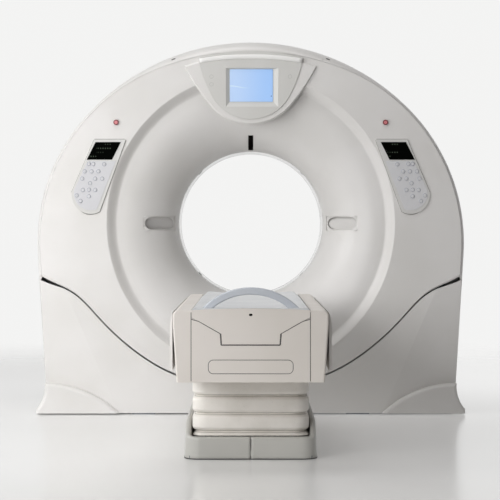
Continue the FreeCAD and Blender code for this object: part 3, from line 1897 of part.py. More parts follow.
def tabletop_end():
    """The plate that closes the tabletop at the foot end, with its stepped tongue."""
    half = size("couch_side_inner - cover_joint")
    corners = flap_corners(0)
    points = [vector(across, -size("couch_near"), up) for across, up in corners]
    side_top = size("couch_side_top")
    crown = size("tabletop_high")
    right, left = (vector(sign * half, -size("couch_near"), side_top) for sign in (1, -1))
    edges = [Part.LineSegment(start, end).toShape() for start, end in zip(points, points[1:])]
    edges.append(Part.LineSegment(points[-1], right).toShape())
    edges.append(Part.Arc(right, vector(0, -size("couch_near"), crown), left).toShape())
    edges.append(Part.LineSegment(left, points[0]).toShape())
    return Part.Face(Part.Wire(edges)).extrude(vector(0, size("end_thick"), 0))


def bow_handle():
    """A flat band bent in an arc that stands across the tabletop's foot end."""
    radius = size("handle_radius")
    band = size("handle_band")
    centre_height = size("handle_crown") - radius
    start = vector(0, -size("handle_place"), centre_height)
    ring = Part.makeCylinder(radius, size("handle_thick"), start, vector(0, 1, 0))
    ring = ring.cut(Part.makeCylinder(radius - band, size("handle_thick"), start, vector(0, 1, 0)))
    reach = 2 * radius
    above = Part.makeBox(
        2 * reach, 4 * reach, reach, vector(-reach, -size("handle_place") - 2 * reach, size("tabletop_high"))
    )
    bow = ring.common(above)
    rims = [edge for edge in bow.Edges if isinstance(edge.Curve, Part.Circle)]
    return bow.makeFillet(size("handle_round"), rims)


keep(solid("Tabletop", tabletop()), "tabletop")
keep(solid("TabletopEnd", tabletop_end()), "tabletop_end")
keep(solid("BowHandle", bow_handle()), "bow_handle")


# ---- checks and export ---------------------------------------------------------------------------


def export():
    """Check every object and every sub-part, then write one STEP file for each sub-part."""
    doc.recompute()
    failed = [item.Name for item in doc.Objects if {"Invalid", "Error"} & set(item.State)]
    if failed:
        raise RuntimeError(f"objects failed: {failed}")
    os.makedirs("parts", exist_ok=True)
    for item in nodes:
        shape = item.Shape
        if shape.isNull() or not shape.isValid() or not shape.Solids:
            raise RuntimeError(f"{item.Label}: its shape is empty or not valid")
    for item in nodes:
        item.Shape.exportStep(os.path.join("parts", f"{item.Label}.step"))
    print(f"{len(nodes)} sub-parts written")


export()
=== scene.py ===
"""Looks of a computed-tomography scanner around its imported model: a tilting gantry and a patient couch.

Each sub-assembly is a class. Its dataclass fields hold the sizes, in metres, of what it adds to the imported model,
and its build method makes those pieces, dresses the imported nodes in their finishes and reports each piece.
"""

import logging
import math
from abc import ABC, abstractmethod
from collections.abc import Iterable, Sequence
from dataclasses import dataclass, field
from enum import Enum
from typing import TypeAlias

import bmesh
import bpy
import numpy as np
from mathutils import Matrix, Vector
from mathutils.bvhtree import BVHTree


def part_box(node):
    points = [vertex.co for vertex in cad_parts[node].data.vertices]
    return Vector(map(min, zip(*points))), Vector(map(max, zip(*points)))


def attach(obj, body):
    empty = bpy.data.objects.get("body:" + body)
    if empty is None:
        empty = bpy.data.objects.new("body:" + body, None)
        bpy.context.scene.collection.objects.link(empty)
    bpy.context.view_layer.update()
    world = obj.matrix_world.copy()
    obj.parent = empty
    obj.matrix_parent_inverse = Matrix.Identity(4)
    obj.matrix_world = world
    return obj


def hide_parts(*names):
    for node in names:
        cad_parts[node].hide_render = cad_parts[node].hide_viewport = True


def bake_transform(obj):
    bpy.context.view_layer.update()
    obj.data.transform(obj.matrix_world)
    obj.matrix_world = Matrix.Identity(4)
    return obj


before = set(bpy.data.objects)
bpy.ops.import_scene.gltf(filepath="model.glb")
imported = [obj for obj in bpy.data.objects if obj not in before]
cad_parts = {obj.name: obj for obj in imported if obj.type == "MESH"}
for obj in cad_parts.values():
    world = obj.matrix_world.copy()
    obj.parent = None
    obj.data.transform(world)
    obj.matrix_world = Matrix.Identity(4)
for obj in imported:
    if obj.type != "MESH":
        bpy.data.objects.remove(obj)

Colour: TypeAlias = tuple[float, float, float]
Grid: TypeAlias = np.ndarray
Tree: TypeAlias = bpy.types.NodeTree

log = logging.getLogger("scanner")
ACROSS, AHEAD, UP = Vector((1, 0, 0)), Vector((0, 1, 0)), Vector((0, 0, 1))
FAR_FRONT = -4.0
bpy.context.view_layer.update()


class Body(Enum):
    """The bodies that the pieces ride on."""

    BASE = "base"
    GANTRY = "gantry"
    COUCH = "couch"
    CRADLE = "cradle"


class Side(Enum):
    """Left or right, as seen from the couch's foot end."""

    LEFT = -1
    RIGHT = 1

    @property
    def word(self) -> str:
        """The side's name in lower case."""
        return self.name.lower()


# ---- node trees ----------------------------------------------------------------------------------


def linear(colour: Colour) -> tuple[float, float, float, float]:
    """Turn a display colour into the renderer's linear one.

    Args:
        colour: red, green and blue from 0 to 255, as a screen shows them.

    Returns:
        Red, green, blue and an alpha of 1, each raised by the usual display curve.
    """
    share = np.asarray(colour, float) / 255.0
    raised = np.where(share <= 0.04045, share / 12.92, ((share + 0.055) / 1.055) ** 2.4)
    return (float(raised[0]), float(raised[1]), float(raised[2]), 1.0)


class Wiring:
    """Puts nodes into one tree and joins them, from left to right."""

    def __init__(self, tree: Tree) -> None:
        """Keep the tree that gets the nodes."""
        self.tree = tree
        self.column = 0

    def add(self, kind: str, inputs: dict[str, object] | None = None, **settings: object) -> bpy.types.Node:
        """Add a node.

        Args:
            kind: the node's class name without its ShaderNode prefix.
            inputs: a value, or an output socket, for each input by name or number.
            settings: properties of the node itself.

        Returns:
            The new node.
        """
        node = self.tree.nodes.new(kind if kind.startswith("Node") else f"ShaderNode{kind}")
        self.column += 1
        node.location = (220 * self.column, 0)
        for name, value in settings.items():
            setattr(node, name, value)
        for name, value in (inputs or {}).items():
            key = int(name) if name.isdigit() else name
            self.feed(node.inputs[key], value)
        return node

    def feed(self, socket: bpy.types.NodeSocket, value: object) -> None:
        """Set an input, or link it where the value is an output socket.

        Args:
            socket: the input.
            value: a number, a colour, or another node's output socket.
        """
        if isinstance(value, bpy.types.NodeSocket):
            self.tree.links.new(value, socket)
        else:
            socket.default_value = value

    def place(self) -> bpy.types.NodeSocket:
        """Read the shaded point's place in the row frame."""
        return self.add("TexCoord").outputs["Object"]

    def parts(self, place: bpy.types.NodeSocket) -> bpy.types.bpy_prop_collection:
        """Split a place into its x, y and z sockets."""
        return self.add("SeparateXYZ", {"0": place}).outputs

    def noise(self, place: bpy.types.NodeSocket, scale: object, detail: float) -> bpy.types.NodeSocket:
        """Lay a cloudy noise with so many cells per metre and finer layers, and give its value socket."""
        return self.add("TexNoise", {"Vector": place, "Scale": scale, "Detail": detail}).outputs[0]

    def bump(
        self, height: bpy.types.NodeSocket, distance: float, strength: float,
        normal: bpy.types.NodeSocket | None = None,
    ) -> bpy.types.NodeSocket:
        """Turn a height into a normal.

        Args:
            height: the height's socket.
            distance: what a height of one stands for, in metres.
            strength: share of the effect.
            normal: a normal to start from.

        Returns:
            The normal's socket.
        """
        node = self.add("Bump", {"Height": height, "Distance": distance, "Strength": strength})
        if normal is not None:
            self.feed(node.inputs["Normal"], normal)
        return node.outputs["Normal"]

    def skin(
        self, colour: object, rough: object, normal: bpy.types.NodeSocket | None = None, **constants: float
    ) -> bpy.types.Node:
        """Lay the surface shader.

        Args:
            colour: base colour.
            rough: roughness.
            normal: normal, where it isn't the mesh's own.
            constants: other inputs by name, with spaces written as underscores.

        Returns:
            The shader's node.
        """
        shader = self.add("BsdfPrincipled")
        self.feed(shader.inputs["Base Color"], colour)
        self.feed(shader.inputs["Roughness"], rough)
        if normal is not None:
            self.feed(shader.inputs["Normal"], normal)
        for name, value in constants.items():
            shader.inputs[name.replace("_", " ")].default_value = value
        return shader

    def math(
        self, operation: str, first: object, second: object = 0.0, third: object = 0.0
    ) -> bpy.types.NodeSocket:
        """Join two or three values or sockets by one sum, product or test, and give the result's socket."""
        node = self.add("Math", {"0": first, "1": second, "2": third}, operation=operation)
        return node.outputs[0]

    def blend(self, share: object, low: object, high: object) -> bpy.types.NodeSocket:
        """Mix two colours by a share that changes over the surface.

        Args:
            share: 0 for the first colour and 1 for the second.
            low: first colour.
            high: second colour.

        Returns:
            The mixed colour's socket.
        """
        node = self.add("Mix", data_type="RGBA")
        self.feed(node.inputs[0], share)
        self.feed(node.inputs[6], low)
        self.feed(node.inputs[7], high)
        return node.outputs[2]

    def ramp(
        self, value: object, start: float, stop: float, low: float = 0.0, high: float = 1.0
    ) -> bpy.types.NodeSocket:
        """Stretch a value from one range to another, held at its ends.

        Args:
            value: the socket to stretch.
            start: value that gives low.
            stop: value that gives high.
            low: result at start.
            high: result at stop.

        Returns:
            The stretched value's socket.
        """
        node = self.add("MapRange", clamp=True, interpolation_type="SMOOTHSTEP")
        for number, amount in enumerate((value, start, stop, low, high)):
            self.feed(node.inputs[number], amount)
        return node.outputs[0]


class Effect(ABC):
    """A shader node group that several finishes share."""

    name: str = ""
    takes: tuple[tuple[str, str, object], ...] = ()
    gives: tuple[tuple[str, str], ...] = ()

    def tree(self) -> Tree:
        """Build the group once.

        Returns:
            The group's tree, with its named inputs and outputs.
        """
        made = bpy.data.node_groups.get(self.name)
        if made is not None:
            return made
        made = bpy.data.node_groups.new(self.name, "ShaderNodeTree")
        for label, kind, value in self.takes:
            socket = made.interface.new_socket(name=label, in_out="INPUT", socket_type=f"NodeSocket{kind}")
            socket.default_value = value
        for label, kind in self.gives:
            made.interface.new_socket(name=label, in_out="OUTPUT", socket_type=f"NodeSocket{kind}")
        wiring = Wiring(made)
        start = wiring.add("NodeGroupInput")
        results = self.wire(wiring, start)
        stop = wiring.add("NodeGroupOutput")
        for label, socket in results.items():
            wiring.feed(stop.inputs[label], socket)
        return made

    @abstractmethod
    def wire(self, wiring: Wiring, start: bpy.types.Node) -> dict[str, bpy.types.NodeSocket]:
        """Lay the group's nodes.

        Args:
            wiring: the group's tree.
            start: the group's input node.

        Returns:
            An output socket for each output's name.
        """

    def place(self, wiring: Wiring, **values: object) -> bpy.types.Node:
        """Put the group into a material.

        Args:
            wiring: the material's tree.
            values: value or socket of each input, with spaces in its name written as underscores.

        Returns:
            The group's node.
        """
        node = wiring.add("Group", node_tree=self.tree())
        for label, value in values.items():
            wiring.feed(node.inputs[label.replace("_", " ")], value)
        return node


class ToneDrift(Effect):
    """Slow cloudy drift between two tones, with sparse darker flecks of dust."""

    name = "tone_drift"
    takes = (
        ("Light Tone", "Color", (0.8, 0.8, 0.8, 1.0)),
        ("Dark Tone", "Color", (0.7, 0.7, 0.7, 1.0)),
        ("Cloud Scale", "Float", 3.0),
        ("Dust", "Float", 0.1),
    )
    gives = (("Colour", "Color"), ("Cloud", "Float"))

    def wire(self, wiring: Wiring, start: bpy.types.Node) -> dict[str, bpy.types.NodeSocket]:
        """Lay a low noise for the cloud and a fine one for the dust.

        Args:
            wiring: the group's tree.
            start: the group's input node.

        Returns:
            An output socket for each output's name.
        """
        place = wiring.place()
        share = wiring.ramp(wiring.noise(place, start.outputs["Cloud Scale"], 3.0), 0.35, 0.65)
        fleck = wiring.ramp(wiring.noise(place, 160.0, 2.0), 0.66, 0.78)
        amount = wiring.math("MULTIPLY", fleck, start.outputs["Dust"])
        base = wiring.blend(share, start.outputs["Light Tone"], start.outputs["Dark Tone"])
        dusty = wiring.blend(amount, base, (0.32, 0.31, 0.30, 1.0))
        return {"Colour": dusty, "Cloud": share}


class MouldedGrain(Effect):
    """The fine orange-peel grain of a sprayed or moulded cover: a height, and a roughness that follows it."""

    name = "moulded_grain"
    takes = (
        ("Grain Scale", "Float", 400.0),
        ("Rough Low", "Float", 0.3),
        ("Rough High", "Float", 0.45),
    )
    gives = (("Height", "Float"), ("Roughness", "Float"))

    def wire(self, wiring: Wiring, start: bpy.types.Node) -> dict[str, bpy.types.NodeSocket]:
        """Lay a cell pattern softened by noise, and a slow drift of the gloss.

        Args:
            wiring: the group's tree.
            start: the group's input node.

        Returns:
            An output socket for each output's name.
        """
        place = wiring.place()
        scale = start.outputs["Grain Scale"]
        cells = wiring.add("TexVoronoi", {"Vector": place, "Scale": scale}, feature="SMOOTH_F1")
        height = wiring.math("MULTIPLY_ADD", wiring.noise(place, scale, 2.0), 0.6, cells.outputs["Distance"])
        share = wiring.ramp(wiring.noise(place, 5.0, 4.0), 0.3, 0.7)
        span = wiring.math("SUBTRACT", start.outputs["Rough High"], start.outputs["Rough Low"])
        rough = wiring.math("MULTIPLY_ADD", share, span, start.outputs["Rough Low"])
        return {"Height": height, "Roughness": rough}


class EdgeWearAndHighlight(Effect):
    """How far a surface turns away within a small radius: 0 on flats and 1 at a sharp edge, which covers use to
    lighten their edges as wear and as a painted highlight.
    """

    name = "edge_wear_and_highlight"
    takes = (("Sharpness", "Float", 1.0),)
    gives = (("Edge", "Float"), ("Normal", "Vector"))

    def wire(self, wiring: Wiring, start: bpy.types.Node) -> dict[str, bpy.types.NodeSocket]:
        """Compare the rounded normal with the true one, and break the result up with noise.

        Args:
            wiring: the group's tree.
            start: the group's input node.

        Returns:
            An output socket for each output's name.
        """
        rounded = wiring.add("Bevel", {"Radius": 0.002}, samples=3)
        true = wiring.add("NewGeometry").outputs["Normal"]
        dot = wiring.add("VectorMath", {"0": rounded.outputs[0], "1": true}, operation="DOT_PRODUCT")
        turned = wiring.math("SUBTRACT", 1.0, dot.outputs["Value"])
        strong = wiring.math("MULTIPLY", turned, start.outputs["Sharpness"])
        patches = wiring.ramp(wiring.noise(wiring.place(), 24.0, 4.0), 0.3, 0.6, 0.5, 1.0)
        broken = wiring.math("MULTIPLY", strong, patches)
        return {"Edge": wiring.ramp(broken, 0.0, 1.0), "Normal": rounded.outputs[0]}


def drifting(
    wiring: Wiring, light: Colour, dark: Colour, scale: float, dust: float
) -> bpy.types.NodeSocket:
    """Lay the drift between two tones in a material.

    Args:
        wiring: the material's tree.
        light: lighter tone.
        dark: darker tone.
        scale: clouds per metre.
        dust: share of the flecks.

    Returns:
        The tone's colour socket.
    """
    node = ToneDrift().place(
        wiring, Light_Tone=linear(light), Dark_Tone=linear(dark), Cloud_Scale=scale, Dust=dust
    )
    return node.outputs["Colour"]


# ---- finishes ------------------------------------------------------------------------------------


@dataclass(frozen=True)
class Finish(ABC):
    """A finish: a name and how its material is wired."""

    name: str

    def material(self) -> bpy.types.Material:
        """Build the material once.

        Returns:
            The material, named after the finish with _finish added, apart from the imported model's own slots.
        """
        label = f"{self.name}_finish"
        made = bpy.data.materials.get(label)
        if made is not None:
            return made
        made = bpy.data.materials.new(label)
        made.use_nodes = True
        made.node_tree.nodes.clear()
        wiring = Wiring(made.node_tree)
        shader = self.wire(wiring)
        wiring.add("OutputMaterial", {"Surface": shader.outputs[0]})
        return made

    @abstractmethod
    def wire(self, wiring: Wiring) -> bpy.types.Node:
        """Lay the material's nodes.

        Args:
            wiring: the material's tree.

        Returns:
            The surface shader's node.
        """


@dataclass(frozen=True)
class MouldedPlastic(Finish):
    """A painted or moulded cover: drifting tone, orange-peel grain, and edges lightened partly as rubbed wear and
    partly as a painted highlight.
    """

    light: Colour = (230, 228, 226)
    dark: Colour = (224, 222, 219)
    # lighter colour at the edges: part rubbed wear, part painted highlight
    worn_and_highlight: Colour = (237, 236, 234)
    rough_low: float = 0.34
    rough_high: float = 0.44
    grain_scale: float = 420.0
    grain_depth: float = 0.00012
    cloud_scale: float = 2.2
    dust: float = 0.10
    coat: float = 0.0
    soft_edges: bool = True

    def wire(self, wiring: Wiring) -> bpy.types.Node:
        """Lay tone, grain and the edges' lightening, part rubbed wear and part painted highlight, under one
        principled shader.

        Args:
            wiring: the material's tree.

        Returns:
            The surface shader's node.
        """
        colour = drifting(wiring, self.light, self.dark, self.cloud_scale, self.dust)
        grain = MouldedGrain().place(
            wiring, Grain_Scale=self.grain_scale, Rough_Low=self.rough_low, Rough_High=self.rough_high
        )
        rounded = None
        if self.soft_edges:
            edge = EdgeWearAndHighlight().place(wiring, Sharpness=1.6)
            # edges lightened: part rubbed wear, part painted highlight
            colour = wiring.blend(wiring.math("MULTIPLY", edge.outputs["Edge"], 0.5), colour, linear(self.worn_and_highlight))
            rounded = edge.outputs["Normal"]
        normal = wiring.bump(grain.outputs["Height"], self.grain_depth, 0.6, rounded)
        return wiring.skin(
            colour, grain.outputs["Roughness"], normal, IOR=1.46, Coat_Weight=self.coat, Coat_Roughness=0.2
        )


@dataclass(frozen=True)
class Metal(Finish):
    """Machined, cast or plated metal, with brushing along one axis and dull patches."""

    light: Colour = (178, 180, 184)
    dark: Colour = (140, 143, 148)
    rough_low: float = 0.28
    rough_high: float = 0.5
    brushed: float = 0.4
    metallic: float = 1.0

    def wire(self, wiring: Wiring) -> bpy.types.Node:
        """Lay drifting tone, brushed streaks and a roughness that follows them.

        Args:
            wiring: the material's tree.

        Returns:
            The surface shader's node.
        """
        tone = drifting(wiring, self.light, self.dark, 6.0, 0.35)
        long_way = wiring.add("Mapping", {"Vector": wiring.place()})
        long_way.inputs["Scale"].default_value = (40.0, 700.0, 700.0)
        streaks = wiring.noise(long_way.outputs[0], 1.0, 3.0)
        rough = wiring.ramp(streaks, 0.3, 0.7, self.rough_low, self.rough_high)
        normal = wiring.bump(streaks, 0.0001, self.brushed)
        return wiring.skin(tone, rough, normal, Metallic=self.metallic)


@dataclass(frozen=True)
class ClearWindow(Finish):
    """The scan window's film or a smoked lens: smooth, with a clear coat and faint smears."""

    light: Colour = (204, 205, 204)
    dark: Colour = (190, 192, 190)
    rough_low: float = 0.12
    rough_high: float = 0.24
    coat: float = 0.4
    specular: float = 0.5

    def wire(self, wiring: Wiring) -> bpy.types.Node:
        """Lay a smooth coloured body whose gloss is broken by smears.

        Args:
            wiring: the material's tree.

        Returns:
            The surface shader's node.
        """
        tone = drifting(wiring, self.light, self.dark, 8.0, 0.15)
        grain = MouldedGrain().place(
            wiring, Grain_Scale=90.0, Rough_Low=self.rough_low, Rough_High=self.rough_high
        )
        normal = wiring.bump(grain.outputs["Height"], 0.00005, 0.3)
        return wiring.skin(
            tone, grain.outputs["Roughness"], normal,
            Coat_Weight=self.coat, Coat_Roughness=0.06, Specular_IOR_Level=self.specular,
        )


@dataclass(frozen=True)
class LitScreen(Finish):
    """A backlit display: pale blue that deepens to one side, with a soft lighter band across it."""

    left: Colour = (171, 194, 226)
    right: Colour = (150, 185, 231)
    band: Colour = (204, 220, 243)
    low: tuple[float, float] = (-0.11, 1.635)
    high: tuple[float, float] = (0.115, 1.804)
    glow: float = 0.38

    def wire(self, wiring: Wiring) -> bpy.types.Node:
        """Lay a slanted gradient and a faint wave as glow and colour, under a finely broken gloss.

        Args:
            wiring: the material's tree.

        Returns:
            The surface shader's node.
        """
        place = wiring.place()
        x, _, z = wiring.parts(place)
        across = wiring.ramp(x, self.low[0], self.high[0])
        up = wiring.ramp(z, self.low[1], self.high[1])
        swell = wiring.math("MULTIPLY", wiring.math("SINE", wiring.math("MULTIPLY", across, 5.2)), 0.09)
        offset = wiring.math("ABSOLUTE", wiring.math("SUBTRACT", wiring.math("ADD", up, swell), 0.48))
        wave = wiring.ramp(offset, 0.0, 0.05, 0.55, 0.0)
        fade = wiring.ramp(across, 0.0, 0.5, 1.0, 0.0)
        base = wiring.blend(across, linear(self.left), linear(self.right))
        shown = wiring.blend(wiring.math("MULTIPLY", wave, fade), base, linear(self.band))
        rough = wiring.ramp(wiring.noise(place, 900.0, 1.0), 0.3, 0.7, 0.18, 0.26)
        shader = wiring.skin(shown, rough, Emission_Strength=self.glow)
        wiring.feed(shader.inputs["Emission Color"], shown)
        return shader


@dataclass(frozen=True)
class DarkReadout(Finish):
    """A black glass readout with rows of faint lamp segments."""

    glass: Colour = (6, 7, 6)
    segment: Colour = (70, 78, 68)
    row_pitch: float = 0.021
    cell_pitch: float = 0.0125

    def wire(self, wiring: Wiring) -> bpy.types.Node:
        """Lay bars where a row wave and a cell wave are both high and a cell noise is lit.

        Args:
            wiring: the material's tree.

        Returns:
            The surface shader's node.
        """
        place = wiring.place()
        x, _, z = wiring.parts(place)
        rows = wiring.math("SINE", wiring.math("MULTIPLY", z, math.tau / self.row_pitch))
        bars = wiring.math("SINE", wiring.math("MULTIPLY", x, math.tau / self.cell_pitch))
        row_mask = wiring.ramp(rows, 0.45, 0.75)
        bar_mask = wiring.ramp(bars, -0.1, 0.2)
        coarse = wiring.add("Mapping", {"Vector": place})
        coarse.inputs["Scale"].default_value = (26.0, 0.0, 48.0)
        lit = wiring.add("TexWhiteNoise", noise_dimensions="3D")
        snapped = wiring.add("VectorMath", {"0": coarse.outputs[0]}, operation="FLOOR")
        wiring.feed(lit.inputs["Vector"], snapped.outputs[0])
        on = wiring.ramp(lit.outputs["Value"], 0.45, 0.75)
        mask = wiring.math("MULTIPLY", wiring.math("MULTIPLY", row_mask, bar_mask), on)
        colour = wiring.blend(mask, linear(self.glass), linear(self.segment))
        rough = wiring.ramp(wiring.noise(place, 30.0, 3.0), 0.3, 0.7, 0.42, 0.55)
        shader = wiring.skin(colour, rough, Emission_Strength=0.1, Specular_IOR_Level=0.0)
        wiring.feed(shader.inputs["Emission Color"], colour)
        return shader


@dataclass(frozen=True)
class StopCap(Finish):
    """A stop button: a red ring round a paler pink cap, told apart by the distance from the button's middle."""

    centre: tuple[float, float] = (0.0, 0.0)
    cap_radius: float = 0.0085
    ring: Colour = (112, 28, 38)
    cap: Colour = (224, 134, 138)

    def wire(self, wiring: Wiring) -> bpy.types.Node:
        """Lay the two reds by radius, over fine grain.

        Args:
            wiring: the material's tree.

        Returns:
            The surface shader's node.
        """
        place = wiring.place()
        x, _, z = wiring.parts(place)
        across = wiring.math("SUBTRACT", x, self.centre[0])
        up = wiring.math("SUBTRACT", z, self.centre[1])
        squares = wiring.math("ADD", wiring.math("MULTIPLY", across, across), wiring.math("MULTIPLY", up, up))
        radius = wiring.math("SQRT", squares)
        share = wiring.ramp(radius, self.cap_radius - 0.0006, self.cap_radius + 0.0006)
        mottle = wiring.ramp(wiring.noise(place, 300.0, 2.0), 0.3, 0.7, 0.0, 0.3)
        cap = wiring.blend(mottle, linear(self.cap), linear(self.ring))
        colour = wiring.blend(share, cap, linear(self.ring))
        grain = MouldedGrain().place(wiring, Grain_Scale=900.0, Rough_Low=0.25, Rough_High=0.35)
        return wiring.skin(colour, grain.outputs["Roughness"])


@dataclass(frozen=True)
class WeaveSkin(Finish):
    """The tabletop's laminate: a pale skin over a faint woven ply."""

    light: Colour = (217, 219, 221)
    dark: Colour = (209, 211, 214)
    ply_pitch: float = 0.004

    def wire(self, wiring: Wiring) -> bpy.types.Node:
        """Lay two crossed waves for the ply's tows as height and tone.

        Args:
            wiring: the material's tree.

        Returns:
            The surface shader's node.
        """
        x, y, _ = wiring.parts(wiring.place())
        rate = math.tau / self.ply_pitch
        warp = wiring.math("SINE", wiring.math("MULTIPLY", x, rate))
        weft = wiring.math("SINE", wiring.math("MULTIPLY", y, rate))
        tows = wiring.math("MULTIPLY", warp, weft)
        tone = drifting(wiring, self.light, self.dark, 4.0, 0.1)
        share = wiring.ramp(tows, -1.0, 1.0, 0.0, 0.25)
        colour = wiring.blend(share, tone, linear(self.dark))
        rough = wiring.ramp(tows, -1.0, 1.0, 0.3, 0.42)
        return wiring.skin(colour, rough, wiring.bump(tows, 0.00008, 0.4))


@dataclass(frozen=True)
class SleeveCloth(Finish):
    """Coated cloth of the bellows: soft sheen, fine weave, and painted shade that darkens the creases a little."""

    light: Colour = (238, 234, 228)
    dark: Colour = (230, 226, 219)
    # darker colour painted into the creases as shade
    crease_shade: Colour = (150, 145, 138)
    weave_pitch: float = 0.0016

    def wire(self, wiring: Wiring) -> bpy.types.Node:
        """Lay weave, rumples and the creases' painted shade, read from the piece's own attribute.

        Args:
            wiring: the material's tree.

        Returns:
            The surface shader's node.
        """
        place = wiring.place()
        tone = drifting(wiring, self.light, self.dark, 9.0, 0.2)
        fold = wiring.add("Attribute", attribute_name="fold").outputs["Fac"]
        # painted shade darkening each fold's crease
        colour = wiring.blend(wiring.ramp(fold, 0.2, 1.0, 0.0, 0.75), tone, linear(self.crease_shade))
        rumple = wiring.noise(place, 26.0, 4.0)
        x, _, z = wiring.parts(place)
        rate = math.tau / self.weave_pitch
        warp = wiring.math("SINE", wiring.math("MULTIPLY", x, rate))
        weft = wiring.math("SINE", wiring.math("MULTIPLY", z, rate))
        soft = wiring.bump(rumple, 0.004, 0.35)
        normal = wiring.bump(wiring.math("MULTIPLY", warp, weft), 0.0001, 0.3, soft)
        rough = wiring.ramp(rumple, 0.3, 0.7, 0.5, 0.62)
        return wiring.skin(colour, rough, normal, Sheen_Weight=0.12, Sheen_Roughness=0.5)


@dataclass(frozen=True)
class StudioFloor(Finish):
    """A pale lacquered floor with a broken gloss, painted light to the right and behind, a painted shadow of the
    couch at the front, and a fade into the white surroundings far away.
    """

    light: Colour = (226, 226, 225)
    dark: Colour = (221, 221, 220)
    painted_light_left: float = 0.03
    painted_light_right: float = 0.16
    painted_light_back: float = 0.16
    # painted shadow of the couch on the floor in front of it
    front: Colour = (176, 174, 168)
    fade_start: float = 2.6
    fade_stop: float = 6.5

    def wire(self, wiring: Wiring) -> bpy.types.Node:
        """Lay a slow drift of tone and gloss, painted light glowing to the right and behind, and a painted shadow
        darkening the front under the couch.

        Args:
            wiring: the material's tree.

        Returns:
            The surface shader's node.
        """
        tone = drifting(wiring, self.light, self.dark, 0.3, 0.0)
        place = wiring.place()
        rough = wiring.ramp(wiring.noise(place, 0.3, 1.0), 0.3, 0.7, 0.19, 0.2)
        x, y, _ = wiring.parts(place)
        # painted light: the floor glows more to the right and behind, as if lit there
        lit = wiring.ramp(x, -1.6, 1.6, self.painted_light_left, self.painted_light_right)
        lit = wiring.math("ADD", lit, wiring.ramp(y, -1.2, 1.6, 0.0, self.painted_light_back))
        # painted shadow: the floor darkens towards the front, under the couch
        near = wiring.ramp(y, -3.9, -2.7, 0.55, 0.0)
        colour = wiring.blend(near, tone, linear(self.front))
        shader = wiring.skin(colour, rough, Emission_Strength=1.0)
        wiring.feed(shader.inputs["Emission Color"], wiring.blend(lit, (0.0, 0.0, 0.0, 1.0), (1.0, 1.0, 1.0, 1.0)))
        reach = wiring.add("VectorMath", {"0": place}, operation="LENGTH").outputs["Value"]
        gone = wiring.ramp(reach, self.fade_start, self.fade_stop)
        mix = wiring.add("MixShader", {"0": gone})
        wiring.feed(mix.inputs[1], shader.outputs[0])
        wiring.feed(mix.inputs[2], wiring.add("BsdfTransparent").outputs[0])
        return mix


GANTRY_WHITE = MouldedPlastic("gantry_white")
COUCH_WHITE = MouldedPlastic(
    "couch_white", light=(230, 224, 218), dark=(224, 218, 211), rough_low=0.42, rough_high=0.52
)
# the gantry white two levels darker: painted shade of the rim's rounding
RIM_SHADED_WHITE = MouldedPlastic("rim_shaded_white", light=(228, 226, 224), dark=(222, 220, 217))
PANEL_GREY = MouldedPlastic("panel_grey", light=(218, 217, 215), dark=(212, 211, 208), grain_scale=700.0)
DISPLAY_GREY = MouldedPlastic("display_grey", light=(216, 215, 212), dark=(210, 209, 205), grain_scale=700.0)
KEY_WHITE = MouldedPlastic(
    "key_white", light=(220, 220, 222), dark=(211, 211, 214), grain_scale=900.0, rough_low=0.5, rough_high=0.6
)
PLINTH_GREY = MouldedPlastic(
    "plinth_grey", light=(190, 189, 184), dark=(180, 179, 174), worn_and_highlight=(205, 204, 200), rough_low=0.3, rough_high=0.4
)
HANDLE_PALE = MouldedPlastic(
    "handle_pale", light=(206, 211, 218), dark=(198, 203, 211), worn_and_highlight=(219, 223, 228), coat=0.5,
    rough_low=0.26, rough_high=0.34,
)
UNIT_CASING = MouldedPlastic("unit_casing", light=(96, 102, 110), dark=(84, 90, 98), worn_and_highlight=(128, 132, 138))
DARK_TRIM = MouldedPlastic("dark_trim", light=(64, 64, 62), dark=(48, 48, 47), worn_and_highlight=(90, 90, 88), grain_scale=900.0)
# near-white strip colour: a painted highlight on the display panel's top edge
HIGHLIGHT_WHITE = MouldedPlastic("painted_highlight_white", light=(248, 247, 245), dark=(243, 242, 240), soft_edges=False)
JOINT_GREY = MouldedPlastic("joint_grey", light=(160, 158, 154), dark=(148, 146, 142), soft_edges=False)
KEY_RIM = MouldedPlastic(
    "key_rim", light=(178, 180, 190), dark=(164, 166, 178), grain_scale=900.0, rough_low=0.5, rough_high=0.6,
    soft_edges=False,
)
SEAM_GREY = MouldedPlastic("seam_grey", light=(78, 74, 72), dark=(66, 63, 61), worn_and_highlight=(88, 84, 82), soft_edges=False)
MARK_GREY = MouldedPlastic("mark_grey", light=(196, 196, 192), dark=(188, 188, 184), soft_edges=False)
FRAME_STEEL = Metal(
    "frame_steel", light=(122, 126, 132), dark=(98, 102, 108), metallic=0.85, rough_low=0.4, rough_high=0.6
)
FRAME_ALLOY = Metal("frame_alloy")
COLUMN_STEEL = Metal("column_steel", light=(192, 194, 198), dark=(168, 171, 176), rough_low=0.2, rough_high=0.36)
SCAN_FILM = ClearWindow("scan_film")
LASER_GLASS = ClearWindow(
    "laser_glass", light=(16, 13, 13), dark=(10, 8, 8), rough_low=0.45, rough_high=0.55, coat=0.0, specular=0.0
)


# ---- meshes --------------------------------------------------------------------------------------


